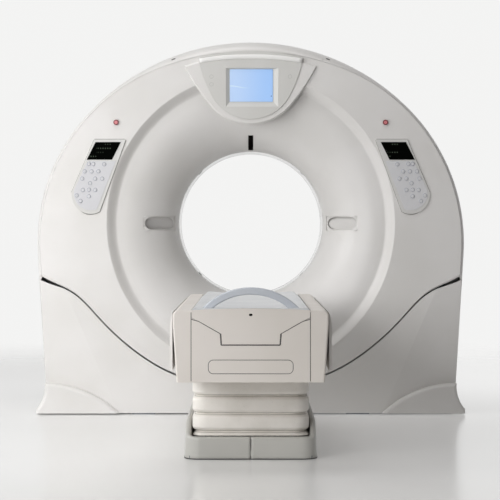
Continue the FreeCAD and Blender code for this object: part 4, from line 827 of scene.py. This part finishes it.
def mesh_from_grid(
    name: str, grid: Grid, closed_u: bool = False, closed_v: bool = False, capped: bool = False
) -> bpy.types.Object:
    """Make a mesh from a grid of points, one quad between each four neighbours.

    Where the grid makes a closed piece, its faces are turned outwards.

    Args:
        name: the piece's name.
        grid: points as rows (u) by columns (v) by x, y and z, in the row frame.
        closed_u: join the last row to the first.
        closed_v: join the last column to the first.
        capped: close the first and last row with a fan round its middle point.

    Returns:
        The object, linked to the scene, at the origin.
    """
    rows, columns = grid.shape[:2]
    index = np.arange(rows * columns).reshape(rows, columns)
    if closed_u:
        index = np.vstack([index, index[:1]])
    if closed_v:
        index = np.hstack([index, index[:, :1]])
    quads = np.stack([index[:-1, :-1], index[:-1, 1:], index[1:, 1:], index[1:, :-1]], axis=-1).reshape(-1, 4)
    points = grid.reshape(-1, 3)
    faces = quads.tolist()
    if capped:
        count = rows * columns
        points = np.vstack([points, grid[0].mean(0), grid[-1].mean(0)])
        first, last = index[0], index[-1]
        faces += np.stack([first[1:], first[:-1], np.full(len(first) - 1, count)], axis=-1).tolist()
        faces += np.stack([last[:-1], last[1:], np.full(len(last) - 1, count + 1)], axis=-1).tolist()
    mesh = bpy.data.meshes.new(name)
    mesh.from_pydata(points.tolist(), [], faces)
    if capped or (closed_u and closed_v):
        work = bmesh.new()
        work.from_mesh(mesh)
        bmesh.ops.recalc_face_normals(work, faces=work.faces)
        work.to_mesh(mesh)
        work.free()
    mesh.update()
    mesh.shade_smooth()
    piece = bpy.data.objects.new(name, mesh)
    bpy.context.scene.collection.objects.link(piece)
    return piece


def rounded_outline(half_width: float, half_height: float, radius: float, steps: int = 8) -> Grid:
    """A rectangle's outline with round corners, counter-clockwise.

    Each corner is a quarter circle: the corner's centre plus the radius times cosine and sine of the angle.

    Args:
        half_width: half of the width.
        half_height: half of the height.
        radius: corner radius.
        steps: pieces that each corner is divided into.

    Returns:
        Points as an array of pairs.
    """
    turns = np.linspace(0, math.pi / 2, steps + 1)
    starts = np.array([0, 1, 2, 3])[:, None] * math.pi / 2
    angles = (starts + turns[None, :]).ravel()
    signs = np.array([[1, 1], [-1, 1], [-1, -1], [1, -1]], float)
    centres = np.repeat(signs * [half_width - radius, half_height - radius], steps + 1, axis=0)
    return centres + radius * np.stack([np.cos(angles), np.sin(angles)], axis=-1)


def domed_plate(
    name: str, outline: Grid, centre: Vector, across: Vector, up: Vector, height: float, crown: float = 0.0,
    edge: float = 0.25,
) -> bpy.types.Object:
    """A low plate with a rounded shoulder, raised from a plane along across x up.

    Ring by ring the outline is scaled towards its middle while the height rises as the sine of the same angle, then
    the top swells by crown times one minus the square of the scale.

    Args:
        name: the piece's name.
        outline: closed outline in the plane, as pairs about its middle.
        centre: the middle point in the row frame, on the surface that carries the plate.
        across: direction of the outline's first coordinate.
        up: direction of its second.
        height: height of the shoulder.
        crown: swell of the middle above the shoulder.
        edge: share of the half width that the shoulder takes.

    Returns:
        The plate as an object.
    """
    normal = across.cross(up)
    angles = np.linspace(0, math.pi / 2, 5)
    shoulder = 1 - edge * (1 - np.cos(angles))
    rise = height * np.sin(angles)
    scales = np.concatenate([[1.0], shoulder, np.linspace(shoulder[-1], 0.04, 5)[1:]])
    heights = np.concatenate([[-height * 0.5], rise, np.full(4, height)])
    heights = heights + np.where(scales < 1, crown * (1 - (scales / shoulder[-1]).clip(0, 1) ** 2), 0)
    flat = outline[None, :, :] * scales[:, None, None]
    grid = (
        np.array(centre)
        + flat[..., :1] * np.array(across)
        + flat[..., 1:] * np.array(up)
        + heights[:, None, None] * np.array(normal)
    )
    return mesh_from_grid(name, grid, closed_v=True, capped=True)


def ring_piece(
    name: str, centre: Vector, axis: Vector, radius: float, band: float, height: float, steps: int = 64
) -> bpy.types.Object:
    """A round bead that lies on a surface: a half ellipse carried round a circle.

    Args:
        name: the piece's name.
        centre: middle of the circle, in the row frame.
        axis: outward direction of the surface.
        radius: radius of the bead's centre line.
        band: width of the bead.
        height: height above the surface.
        steps: pieces round the circle.

    Returns:
        The bead as a closed object.
    """
    axis = axis.normalized()
    first = axis.orthogonal().normalized()
    second = axis.cross(first)
    turn = np.linspace(0, math.tau, steps, endpoint=False)
    profile = np.linspace(0, math.tau, 12, endpoint=False)
    out = radius + band / 2 * np.cos(profile)
    lift = height * np.sin(profile)
    round_way = np.cos(turn)[:, None, None] * np.array(first) + np.sin(turn)[:, None, None] * np.array(second)
    grid = np.array(centre) + out[None, :, None] * round_way + lift[None, :, None] * np.array(axis)
    return mesh_from_grid(name, grid, closed_u=True, closed_v=True)


def bead(name: str, path: Grid, outward: Grid, width: float, height: float, closed: bool = False) -> bpy.types.Object:
    """A soft gasket that lies along a path: an ellipse carried along it, square to the path and to the surface.

    Each ring is the path's point plus half the width times the cosine across it, plus the height times the sine
    outwards; across is the cross product of the path's direction and the outward direction.

    Args:
        name: the piece's name.
        path: points of the path, in the row frame.
        outward: outward direction of the surface at each point.
        width: width of the gasket.
        height: how far it stands out, and sinks in.
        closed: the path ends where it starts.

    Returns:
        The gasket as a closed object.
    """
    way = np.roll(path, -1, 0) - np.roll(path, 1, 0) if closed else np.gradient(path, axis=0)
    across = np.cross(way, outward)
    across /= np.linalg.norm(across, axis=1, keepdims=True)
    turn = np.linspace(0, math.tau, 8, endpoint=False)
    grid = (
        path[:, None, :]
        + width / 2 * np.cos(turn)[None, :, None] * across[:, None, :]
        + height * np.sin(turn)[None, :, None] * outward[:, None, :]
    )
    return mesh_from_grid(name, grid, closed_u=closed, closed_v=True, capped=not closed)


def along(corners: Grid, spacing: float = 0.01) -> Grid:
    """Divide a broken line evenly: each coordinate is interpolated over the length walked.

    Args:
        corners: the line's corners.
        spacing: distance between points.

    Returns:
        Points along the line.
    """
    legs = np.linalg.norm(np.diff(corners, axis=0), axis=1)
    walked = np.concatenate([[0.0], np.cumsum(legs)])
    places = np.linspace(0, walked[-1], max(3, round(walked[-1] / spacing) + 1))
    return np.stack([np.interp(places, walked, corners[:, axis]) for axis in range(corners.shape[1])], axis=-1)


def face_bead(
    name: str, flat: Grid, depth: float | Grid, width: float, height: float, closed: bool = False
) -> bpy.types.Object:
    """A gasket on an upright face that looks towards the foot end.

    Args:
        name: the piece's name.
        flat: its path, across and up.
        depth: the face's place along the bore, for the whole path or for each point.
        width: width of the gasket.
        height: how far it stands out, and sinks in.
        closed: the path ends where it starts.

    Returns:
        The gasket as a closed object.
    """
    path = np.stack([flat[:, 0], np.broadcast_to(depth, len(flat)), flat[:, 1]], axis=-1)
    return bead(name, path, np.tile([0.0, -1.0, 0.0], (len(path), 1)), width, height, closed)


class Surface:
    """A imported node's surface, asked where a straight line meets it."""

    def __init__(self, node: str) -> None:
        """Read the node's mesh.

        Args:
            node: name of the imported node.
        """
        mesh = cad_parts[node].data
        points = [vertex.co.copy() for vertex in mesh.vertices]
        faces = [tuple(face.vertices) for face in mesh.polygons]
        self.tree = BVHTree.FromPolygons(points, faces)

    def find(self, start: Vector, way: Vector) -> Vector | None:
        """Find where a line first meets the surface, or nothing where it misses."""
        return self.tree.ray_cast(start, way)[0]

    def hit(self, start: Vector, way: Vector) -> tuple[Vector, Vector]:
        """Find the first meeting point.

        Args:
            start: where the line starts.
            way: its direction.

        Returns:
            The point and the surface's outward direction there.
        """
        point, normal, _, _ = self.tree.ray_cast(start, way)
        if point is None:
            raise ValueError(f"no surface along {tuple(way)} from {tuple(start)}")
        if normal.dot(way) > 0:
            normal = -normal
        return point, normal


# ---- sub-assemblies ------------------------------------------------------------------------------


class Assembly(ABC):
    """A sub-assembly of the scanner."""

    @abstractmethod
    def build(self) -> None:
        """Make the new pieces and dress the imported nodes."""

    def dress(self, nodes: Iterable[str], finish: Finish) -> None:
        """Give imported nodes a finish.

        Args:
            nodes: names of the nodes.
            finish: what they get.
        """
        for name in nodes:
            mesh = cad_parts[name].data
            mesh.materials.clear()
            mesh.materials.append(finish.material())
            log.info("%s wears %s", name, finish.name)

    def finish_piece(
        self, piece: bpy.types.Object, finish: Finish, body: Body, slot: str, replaces: Sequence[str] = ()
    ) -> bpy.types.Object:
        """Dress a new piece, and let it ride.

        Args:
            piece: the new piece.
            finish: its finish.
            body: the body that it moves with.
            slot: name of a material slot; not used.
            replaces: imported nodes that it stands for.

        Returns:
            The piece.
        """
        piece.data.materials.clear()
        piece.data.materials.append(finish.material())
        if replaces:
            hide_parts(*replaces)
        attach(piece, body.value)
        log.info("%s made for %s, %d faces", piece.name, body.value, len(piece.data.polygons))
        return piece


@dataclass
class GantryCovers(Assembly):
    """The gantry's painted covers, with oval plugs in the rim's rounding and oval lips in the side recesses."""

    plug_across: float = 0.405
    plug_deep: float = -0.428
    plug_half_width: float = 0.0115
    plug_half_height: float = 0.0062
    plug_height: float = 0.0012
    recess_centre: tuple[float, float] = (0.485, 1.0)
    recess_half: tuple[float, float] = (0.080, 0.038)
    oval_half: tuple[float, float] = (0.0735, 0.0335)
    recess_corner: float = 0.02
    probe_margin: float = 0.008
    lip_overlap: float = 0.003
    lip_depth: float = 0.014
    lip_wall: float = 0.0015

    def build(self) -> None:
        """Dress the covers, and set a plug and a lip on each side."""
        self.dress(("front_cover", "rear_cover", "lower_front_cover", "lower_rear_cover"), GANTRY_WHITE)
        self.dress(("rim_cover_top", "rim_cover_left", "rim_cover_right"), RIM_SHADED_WHITE)
        self.dress(("scan_window",), SCAN_FILM)
        self.dress(("laser_window_top", "laser_window_left", "laser_window_right"), LASER_GLASS)
        for side in Side:
            self.rim_plug(side)
            self.recess_lip(side)

    def recess_lip(self, side: Side) -> None:
        """Set the oval lip in one side recess of the dish.

        The cover's surface round the recess is fitted by a quadratic in x and z. Rings then go from an outline just
        outside the recess to an oval inside it, in that surface, and turn down into the recess as a quarter round.

        Args:
            side: left or right of the bore.
        """
        across, up = side.value * self.recess_centre[0], self.recess_centre[1]
        cover = Surface("front_cover")
        half, corner = np.array(self.recess_half), self.recess_corner
        near = rounded_outline(*(half + self.probe_margin), corner, 6) + [across, up]
        hits = np.array([cover.hit(Vector((x, FAR_FRONT, z)), AHEAD)[0] for x, z in near])

        def terms(x: Grid, z: Grid) -> Grid:
            """The quadratic's six terms about the recess's middle."""
            x, z = x - across, z - up
            return np.stack([np.ones_like(x), x, z, x * x, x * z, z * z], axis=-1)

        factors = np.linalg.lstsq(terms(hits[:, 0], hits[:, 2]), hits[:, 1], rcond=None)[0]
        outer = rounded_outline(*(half + self.lip_overlap), corner, 10)
        inner = rounded_outline(*self.oval_half, self.oval_half[1] * 0.99, 10)
        share = np.array([0.0, 0.0, 0.3, 0.6, 0.9, 1.0, 1.0, 1.0, 1.0])
        shrink = np.array([0.0, 0.0, 0.0, 0.0, 0.0, 0.0006, 0.0016, 0.002, 0.002])
        sink = np.array([0.001, -0.0005, -0.0006, -0.0006, -0.0006, -0.0002, 0.001, 0.003, self.lip_depth])
        flat = outer + share[:, None, None] * (inner - outer)
        flat -= shrink[:, None, None] * inner / np.linalg.norm(inner, axis=1, keepdims=True)
        flat += [across, up]
        deep = terms(flat[..., 0], flat[..., 1]) @ factors + sink[:, None]
        grid = np.stack([flat[..., 0], deep, flat[..., 1]], axis=-1)
        back = grid[::-1] + [0.0, self.lip_wall, 0.0]
        lip = mesh_from_grid(f"recess_lip_{side.word}", np.concatenate([grid, back]), closed_u=True, closed_v=True)
        self.finish_piece(lip, GANTRY_WHITE, Body.GANTRY, "gantry_shell")

    def rim_plug(self, side: Side) -> None:
        """Set one oval plug on the rounding above the front cover.

        Args:
            side: left or right of the display.
        """
        start = Vector((side.value * self.plug_across, self.plug_deep, 2.5))
        covers = [Surface(node) for node in ("front_cover", "rim_cover_left", "rim_cover_right", "rim_cover_top")]
        met = [cover.hit(start, -UP) for cover in covers if cover.find(start, -UP)]
        point, normal = max(met, key=lambda pair: pair[0].z)
        across = AHEAD.cross(normal).normalized()
        up = normal.cross(across)
        outline = rounded_outline(self.plug_half_width, self.plug_half_height, self.plug_half_height * 0.98)
        plug = domed_plate(f"rim_plug_{side.word}", outline, point, across, up, self.plug_height)
        self.finish_piece(plug, DARK_TRIM, Body.GANTRY, "rim_shell")


@dataclass
class DisplayUnit(Assembly):
    """The display in its shield-shaped panel, with small moulded marks beside the screen."""

    mark_place: float = 0.205
    mark_heights: tuple[float, ...] = (1.765, 1.725)
    mark_radius: float = 0.0095
    mark_band: float = 0.0022
    mark_height: float = 0.0004
    lamp_place: tuple[float, float] = (0.107, 1.664)
    lamp_radius: float = 0.0028
    lamp_rise: float = 0.0008
    # sizes of the strip that paints a highlight along the panel's top edge
    brow_reach: float = 0.268
    brow_height: float = 1.870
    brow_sag: float = 0.022
    brow_width: float = 0.024
    brow_proud: float = 0.004

    def build(self) -> None:
        """Dress the display and add marks, the painted highlight strip and lamp."""
        self.dress(("display_surround",), GANTRY_WHITE)
        self.dress(("display_panel",), DISPLAY_GREY)
        low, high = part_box("display_screen")
        screen = LitScreen("display_glow", low=(low.x, low.z), high=(high.x, high.z))
        self.dress(("display_screen",), screen)
        panel = Surface("display_panel")
        for side in Side:
            for number, height in enumerate(self.mark_heights[: 2 if side is Side.LEFT else 1]):
                start = Vector((side.value * self.mark_place, FAR_FRONT, height))
                point, normal = panel.hit(start, AHEAD)
                name = f"touch_mark_{side.word}_{number}"
                ring = ring_piece(name, point, normal, self.mark_radius, self.mark_band, self.mark_height)
                self.finish_piece(ring, MARK_GREY, Body.GANTRY, "display_shell")
        self.highlight_strip()
        across, up = self.lamp_place
        point = Vector((across, low.y, up))
        outline = rounded_outline(self.lamp_radius, self.lamp_radius, self.lamp_radius * 0.96, 5)
        lamp = domed_plate("screen_lamp", outline, point, ACROSS, UP, self.lamp_rise)
        self.finish_piece(lamp, DARK_TRIM, Body.GANTRY, "display_shell")

    def highlight_strip(self) -> None:
        """Lay a bright strip along the panel's top edge as a painted highlight: a flat bead at the covers' middle
        depth, sagging towards its ends.
        """
        covers = [Surface(name) for name in ("display_panel", "display_surround", "front_cover", "rim_cover_top")]
        places = np.linspace(-self.brow_reach, self.brow_reach, 31)
        heights = self.brow_height - self.brow_sag * (places / self.brow_reach) ** 2
        depths = []
        for across, up in zip(places, heights):
            start = Vector((across, FAR_FRONT, up))
            depths.append(min(point.y for point in (cover.find(start, AHEAD) for cover in covers) if point))
        flat = np.stack([places, heights], axis=-1)
        strip = face_bead("display_highlight_strip", flat, float(np.median(depths)), self.brow_width, self.brow_proud)
        self.finish_piece(strip, HIGHLIGHT_WHITE, Body.GANTRY, "display_shell")


@dataclass
class ControlPanels(Assembly):
    """The two key panels with their readouts, moulded key mats, key rims and edge gaskets."""

    cover_face: float = -0.4502
    mat_face: float = -0.4575
    gasket_width: float = 0.0056
    gasket_height: float = 0.0012
    key_radius: float = 0.0088
    rim_band: float = 0.0036
    rim_height: float = 0.0016
    keys: tuple[tuple[float, float], ...] = (
        (0.766, 1.308), (0.823, 1.310), (0.846, 1.310), (0.796, 1.271), (0.832, 1.271), (0.868, 1.271),
        (0.777, 1.233), (0.813, 1.233), (0.881, 1.233), (0.840, 1.209), (0.813, 1.174), (0.846, 1.175),
        (0.877, 1.174), (0.846, 1.141), (0.910, 1.145), (0.890, 1.116),
    )
    corners: tuple[tuple[float, float], ...] = ((0.790, 1.060), (0.652, 1.438), (0.818, 1.438), (0.937, 1.160))
    low_point: tuple[float, float] = (0.878, 1.058)

    def outline(self) -> Grid:
        """Walk the panel's edge: straight sides, and a quadratic curve under the lower end.

        Returns:
            Points across and up, as a closed loop for the right-hand panel.
        """
        start, stop = np.array(self.corners[-1]), np.array(self.corners[0])
        share = np.linspace(0, 1, 16)[:, None]
        pull = 2 * np.array(self.low_point) - (start + stop) / 2
        curve = (1 - share) ** 2 * start + 2 * share * (1 - share) * pull + share**2 * stop
        return along(np.vstack([np.array(self.corners), curve[1:]]), 0.012)[:-1]

    def build(self) -> None:
        """Dress the panels, mats and readouts, ring the keys and lay the edge gaskets."""
        for side in Side:
            flat = self.outline() * [side.value, 1]
            name = f"panel_gasket_{side.word}"
            edge = face_bead(name, flat, self.cover_face, self.gasket_width, self.gasket_height, True)
            self.finish_piece(edge, JOINT_GREY, Body.GANTRY, "panel_shell")
            for number, (across, up) in enumerate(self.keys):
                middle = Vector((side.value * across, self.mat_face, up))
                name = f"key_rim_{side.word}_{number}"
                ring = ring_piece(name, middle, -AHEAD, self.key_radius, self.rim_band, self.rim_height, 24)
                self.finish_piece(ring, KEY_RIM, Body.GANTRY, "keypad_mat")
        self.dress(("control_panel_left", "control_panel_right"), PANEL_GREY)
        self.dress(("keypad_left", "keypad_right"), KEY_WHITE)
        self.dress(("panel_screen_left", "panel_screen_right"), DarkReadout("readout_black"))


@dataclass
class StopButtons(Assembly):
    """The two stop buttons."""

    def build(self) -> None:
        """Dress each button about its own middle."""
        for side in Side:
            node = f"stop_button_{side.word}"
            low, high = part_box(node)
            middle = (low + high) / 2
            self.dress((node,), StopCap(f"stop_red_{side.word}", centre=(middle.x, middle.z)))


@dataclass
class GantryInside(Assembly):
    """Frame, bearings and rotor behind the covers."""

    def build(self) -> None:
        """Dress the hidden metalwork and units."""
        self.dress(("base_frame", "stanchion_left", "stanchion_right", "couch_base_plate"), FRAME_STEEL)
        self.dress(
            ("tilt_frame", "couch_frame", "rotor_drum", "slip_ring", "heat_exchanger", "collimator"), FRAME_ALLOY
        )
        self.dress(
            ("lift_column_base", "lift_column_middle", "lift_column_top", "tilt_bearing_left", "tilt_bearing_right",
             "bearing_inner_ring", "bearing_outer_ring", "drive_stator", "drive_magnets"),
            COLUMN_STEEL,
        )
        self.dress(
            ("tilt_gearmotor", "xray_tube", "generator", "detector_arc", "data_unit", "tabletop_motor"), UNIT_CASING
        )


@dataclass
class CouchCovers(Assembly):
    """The lifting part's covers, with the lamp of the tabletop's end and the gaskets of the end cover."""

    lamp_height: float = 0.622
    lamp_half_width: float = 0.0072
    lamp_half_height: float = 0.0046
    lamp_rise: float = 0.0012
    lamp_crown: float = 0.0006
    gasket_height: float = 0.0008
    flap_line: tuple[tuple[float, float], ...] = ((0.238, 0.604), (0.209, 0.596), (0.121, 0.546))
    tongue_line: tuple[tuple[float, float], ...] = ((0.121, 0.546), (0.118, 0.501))
    seam_line: tuple[tuple[float, float], ...] = ((0.239, 0.632), (0.239, 0.356))
    service_box: tuple[float, float, float, float] = (0.170, 0.386, 0.441, 0.020)

    def build(self) -> None:
        """Dress the covers and add lamp and gaskets."""
        self.dress(
            ("side_cover_left", "side_cover_right", "end_cover", "service_panel", "tabletop_end", "under_cover"),
            COUCH_WHITE,
        )
        self.dress(("side_bumper_left", "side_bumper_right"), GANTRY_WHITE)
        self.dress(("tabletop",), WeaveSkin("tabletop_laminate"))
        self.dress(("bow_handle",), HANDLE_PALE)
        point, _ = Surface("tabletop_end").hit(Vector((0, FAR_FRONT, self.lamp_height)), AHEAD)
        outline = rounded_outline(self.lamp_half_width, self.lamp_half_height, self.lamp_half_height * 0.98)
        lamp = domed_plate("end_lamp", outline, point, ACROSS, UP, self.lamp_rise, self.lamp_crown)
        self.finish_piece(lamp, LASER_GLASS, Body.CRADLE, "laser_glass")
        self.gaskets(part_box("end_cover")[0].y)

    def gaskets(self, face: float) -> None:
        """Lay the dark gaskets in the joints of the end: flap, tongue, side seams and service panel.

        Args:
            face: place of the end's face along the couch.
        """
        lines = []
        for side in Side:
            for word, corners, width in (
                ("flap", self.flap_line, 0.003), ("tongue", self.tongue_line, 0.006), ("seam", self.seam_line, 0.003)
            ):
                flat = along(np.array(corners) * [side.value, 1])
                lines.append((f"{word}_gasket_{side.word}", flat, width, False))
        half, low, high, radius = self.service_box
        loop = rounded_outline(half, (high - low) / 2, radius) + [0, (high + low) / 2]
        lines.append(("service_gasket", loop, 0.0026, True))
        inner = self.tongue_line[-1]
        lines.append(("tongue_gasket_low", along(np.array([(-inner[0], inner[1]), inner])), 0.0052, False))
        for name, flat, width, closed in lines:
            piece = face_bead(name, flat, face, width, self.gasket_height, closed)
            self.finish_piece(piece, SEAM_GREY, Body.COUCH, "couch_shell")


@dataclass
class Bellows(Assembly):
    """The sleeve between plinth and couch: a pleated loop of coated cloth, soft at its folds."""

    first_fold: float = 0.112
    pitch: float = 0.0757
    depth: float = 0.017
    flank: float = 0.020
    corner: float = 0.06
    # place and width of the band painted with crease shade
    crease_place: float = 0.0045
    crease_width: float = 0.0016
    end_slack: float = 0.024
    swell: float = 0.8
    wall: float = 0.003
    rows: int = 260
    corner_steps: int = 14

    def build(self) -> None:
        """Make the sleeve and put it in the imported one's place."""
        low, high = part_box("bellows")
        centre = (low + high) / 2
        levels = np.linspace(low.z, high.z, self.rows)
        phase = (levels - self.first_fold) / self.pitch
        away = np.abs(phase - np.round(phase)) * self.pitch
        bulge = np.sin(math.pi / 2 * (away / self.flank).clip(0, 1)) ** self.swell
        # mask of the painted crease shade beside each fold
        fold = np.exp(-(((away - self.crease_place) / self.crease_width) ** 2))
        inset = self.depth * (1 - bulge)
        steps = len(rounded_outline(1.0, 1.0, 0.5, self.corner_steps))
        grid = np.empty((self.rows, steps, 3))
        for row, step_in in enumerate(inset):
            half_x, half_y = (high.x - low.x) / 2 - step_in, (high.y - low.y) / 2 - step_in
            ring = rounded_outline(half_x, half_y, self.corner + 0.4 * step_in, self.corner_steps)
            grid[row, :, 0] = centre.x + ring[:, 0]
            grid[row, :, 1] = centre.y + ring[:, 1]
            grid[row, :, 2] = levels[row]
        sleeve = mesh_from_grid("bellows_sleeve", grid, closed_v=True)
        attribute = sleeve.data.attributes.new("fold", "FLOAT", "POINT")
        attribute.data.foreach_set("value", np.repeat(fold, steps).astype(np.float32))
        wall = sleeve.modifiers.new("wall", "SOLIDIFY")
        wall.thickness = self.wall
        wall.offset = -1.0
        finish = SleeveCloth("bellows_cloth")
        sleeve.data.materials.append(finish.material())
        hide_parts("bellows")
        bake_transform(sleeve)
        log.info("bellows_sleeve made between base and couch")


@dataclass
class Plinth(Assembly):
    """The couch's grey plinth: two halves of a round-cornered tub whose rim rises along the sides."""

    half_width: float = 0.279
    half_depth: float = 0.657
    middle: float = -1.75
    corner: float = 0.068
    front_top: float = 0.095
    side_top: float = 0.160
    rise_start: float = 0.648
    rise_length: float = 0.16
    deck: float = 0.086
    lip_round: float = 0.012
    joint: float = 0.0006
    joint_width: float = 0.0026
    joint_height: float = 0.0012
    seal_width: float = 0.006
    seal_height: float = 0.0021
    seal_level: float = 0.0022

    def half_outline(self) -> Grid:
        """Walk one half of the plan from the front's middle round the right side to the back's middle.

        Two straight ends and a straight side joined by quarter circles.

        Returns:
            Points across and along, about the plinth's middle.
        """
        turn = np.linspace(-math.pi / 2, 0, 14)
        near = np.stack([np.cos(turn), np.sin(turn)], axis=-1) * self.corner
        near += [self.half_width - self.corner, self.corner - self.half_depth]
        start = np.array([[self.joint, -self.half_depth]])
        half = np.vstack([start, near])
        return along(np.vstack([half, (half * [1, -1])[::-1]]), 0.012)

    def shell(self, side: Side) -> bpy.types.Object:
        """Carry the tub's section round one half: wall, rounded lip, inner wall and deck.

        The rim's height is the front height plus the rise times 3s^2 - 2s^3, where s runs from 0 to 1 along the
        corner. Each section point is the outline moved inwards, at its own height.

        Args:
            side: which half.

        Returns:
            The half as a closed object.
        """
        plan = self.half_outline()
        way = np.gradient(plan, axis=0)
        out = np.stack([way[:, 1], -way[:, 0]], axis=-1)
        out /= np.linalg.norm(out, axis=1, keepdims=True)
        share = ((self.rise_start - np.abs(plan[:, 1])) / self.rise_length).clip(0, 1)
        top = self.front_top + (self.side_top - self.front_top) * share**2 * (3 - 2 * share)
        bend = np.linspace(0, math.pi / 2, 6)
        inner = np.maximum(self.deck + 0.002, top - 0.02)
        section = [(-0.004, 0.0), (0.0, 0.004), (0.0, 0.018), (-0.002, 0.05)]
        section += [
            (-0.003 - self.lip_round * (1 - math.cos(angle)), top - self.lip_round * (1 - math.sin(angle)))
            for angle in bend
        ]
        section += [(-0.021, top), (-0.026, np.maximum(top - 0.005, self.deck + 0.003)), (-0.028, inner)]
        section += [(-0.030, self.deck), (-0.08, self.deck), (-0.08, 0.07), (-0.034, 0.07), (-0.034, 0.0)]
        moved = np.array([amount for amount, _ in section])
        heights = np.stack([np.broadcast_to(height, top.shape) for _, height in section], axis=-1)
        flat = plan[:, None, :] + moved[None, :, None] * out[:, None, :]
        flat[:, :, 0] = np.maximum(flat[:, :, 0], self.joint)
        grid = np.stack([side.value * flat[..., 0], flat[..., 1] + self.middle, heights], axis=-1)
        return mesh_from_grid(f"plinth_shell_{side.word}", grid, closed_v=True, capped=True)

    def build(self) -> None:
        """Make the two halves, the dark seal at the floor and the joint's gasket."""
        for side in Side:
            half = self.shell(side)
            self.finish_piece(half, PLINTH_GREY, Body.BASE, "plinth_shell", (f"plinth_cover_{side.word}",))
            plan = self.half_outline()
            level = np.full(len(plan), self.seal_level)
            path = np.stack([side.value * plan[:, 0], plan[:, 1] + self.middle, level], axis=-1)
            upward = np.tile([0.0, 0.0, 1.0], (len(path), 1))
            seal = bead(f"floor_seal_{side.word}", path, upward, self.seal_width, self.seal_height)
            self.finish_piece(seal, DARK_TRIM, Body.BASE, "plinth_shell")
        front = self.middle - self.half_depth
        rise = np.linspace(0.006, self.front_top - 0.008, 12)
        flat = np.stack([0 * rise, rise], axis=-1)
        depth = front + 0.002 * (rise > 0.02)
        joint = face_bead("plinth_joint", flat, depth, self.joint_width, self.joint_height)
        self.finish_piece(joint, SEAM_GREY, Body.BASE, "plinth_shell")


@dataclass
class Studio:
    """A plain pale floor, soft light from the left and a long-lens camera in front of the couch."""

    camera_place: tuple[float, float, float] = (0.0, -10.227, 0.9525)
    focal_share: float = 3.738
    pitch: float = 0.00947
    turn: float = 0.0004
    floor_reach: float = 60.0
    ambient: float = 0.1
    light_rows: list[tuple[str, tuple[float, float, float], tuple[float, float, float], float, float]] = field(
        default_factory=lambda: [
            ("key_left", (-2.75, -2.0, 1.7), (0.3, -0.4, 1.0), 2.0, 51.0),
            ("front_soft", (-4.5, -8.5, 3.0), (0.0, -1.0, 0.8), 3.0, 68.0),
            ("couch_soft", (-1.6, -4.9, 1.2), (0.0, -2.7, 0.4), 1.2, 38.0),
            ("top_soft", (-0.4, -1.6, 4.6), (0.0, -1.2, 0.8), 2.5, 56.0),
        ]
    )

    def build(self) -> None:
        """Set floor, light and camera."""
        self.floor()
        world = bpy.data.worlds.new("studio_world")
        bpy.context.scene.world = world
        world.use_nodes = True
        self.surroundings(Wiring(world.node_tree), world.node_tree.nodes)
        for name, place, target, size, power in self.light_rows:
            self.lamp(name, Vector(place), Vector(target), size, power)
        self.camera()

    def surroundings(self, wiring: Wiring, nodes: bpy.types.Nodes) -> None:
        """White surroundings that are seen and mirrored at full strength and give a weaker even light.

        Args:
            wiring: the world's tree.
            nodes: the world's nodes, which hold its background and output.
        """
        seen = nodes["Background"]
        seen.inputs["Color"].default_value = (0.9, 0.9, 0.893, 1.0)
        light = wiring.add("Background", {"Color": (0.9, 0.845, 0.815, 1.0), "Strength": self.ambient})
        ray = wiring.add("LightPath")
        mix = wiring.add("MixShader", {"0": ray.outputs["Is Diffuse Ray"]})
        wiring.feed(mix.inputs[1], seen.outputs[0])
        wiring.feed(mix.inputs[2], light.outputs[0])
        wiring.feed(nodes["World Output"].inputs["Surface"], mix.outputs[0])

    def floor(self) -> None:
        """A wide disc: rings of points whose radius grows as the square of the row."""
        turns = np.linspace(0, math.tau, 96, endpoint=False)
        radii = self.floor_reach * np.linspace(0.02, 1.0, 24) ** 2
        grid = np.stack(
            [np.outer(radii, np.cos(turns)), np.outer(radii, np.sin(turns)) - 1.0, np.zeros((24, 96))], axis=-1
        )
        floor = mesh_from_grid("studio_floor", grid[::-1], closed_v=True)
        floor.data.materials.append(StudioFloor("studio_floor").material())
        log.info("floor laid")

    def lamp(self, name: str, place: Vector, target: Vector, size: float, power: float) -> None:
        """Hang one soft square light.

        Args:
            name: the light's name.
            place: where it hangs.
            target: the point that it faces.
            size: side of the square.
            power: radiant power in watts.
        """
        data = bpy.data.lights.new(name, "AREA")
        data.shape = "SQUARE"
        data.size = size
        data.energy = power
        light = bpy.data.objects.new(name, data)
        light.location = place
        light.visible_camera = False
        light.rotation_mode = "QUATERNION"
        light.rotation_quaternion = (target - place).to_track_quat("-Z", "Y")
        bpy.context.scene.collection.objects.link(light)
        log.info("light %s hung", name)

    def camera(self) -> None:
        """Stand the camera a little below the isocentre, pitched slightly down."""
        data = bpy.data.cameras.new("camera")
        data.sensor_width = 36.0
        data.lens = 36.0 * self.focal_share
        data.clip_end = 400.0
        camera = bpy.data.objects.new("camera", data)
        camera.location = self.camera_place
        camera.rotation_euler = (math.pi / 2 - self.pitch, 0.0, self.turn)
        bpy.context.scene.collection.objects.link(camera)
        bpy.context.scene.camera = camera
        log.info("camera set")


def main() -> None:
    """Build the studio and each sub-assembly in order."""
    logging.basicConfig(level=logging.INFO, format="%(name)s: %(message)s")
    bpy.context.scene.view_settings.view_transform = "Standard"
    Studio().build()
    assemblies: tuple[Assembly, ...] = (
        GantryInside(),
        GantryCovers(),
        DisplayUnit(),
        ControlPanels(),
        StopButtons(),
        CouchCovers(),
        Bellows(),
        Plinth(),
    )
    for assembly in assemblies:
        assembly.build()
        log.info("%s done", type(assembly).__name__)


if __name__ == "__main__":
    main()
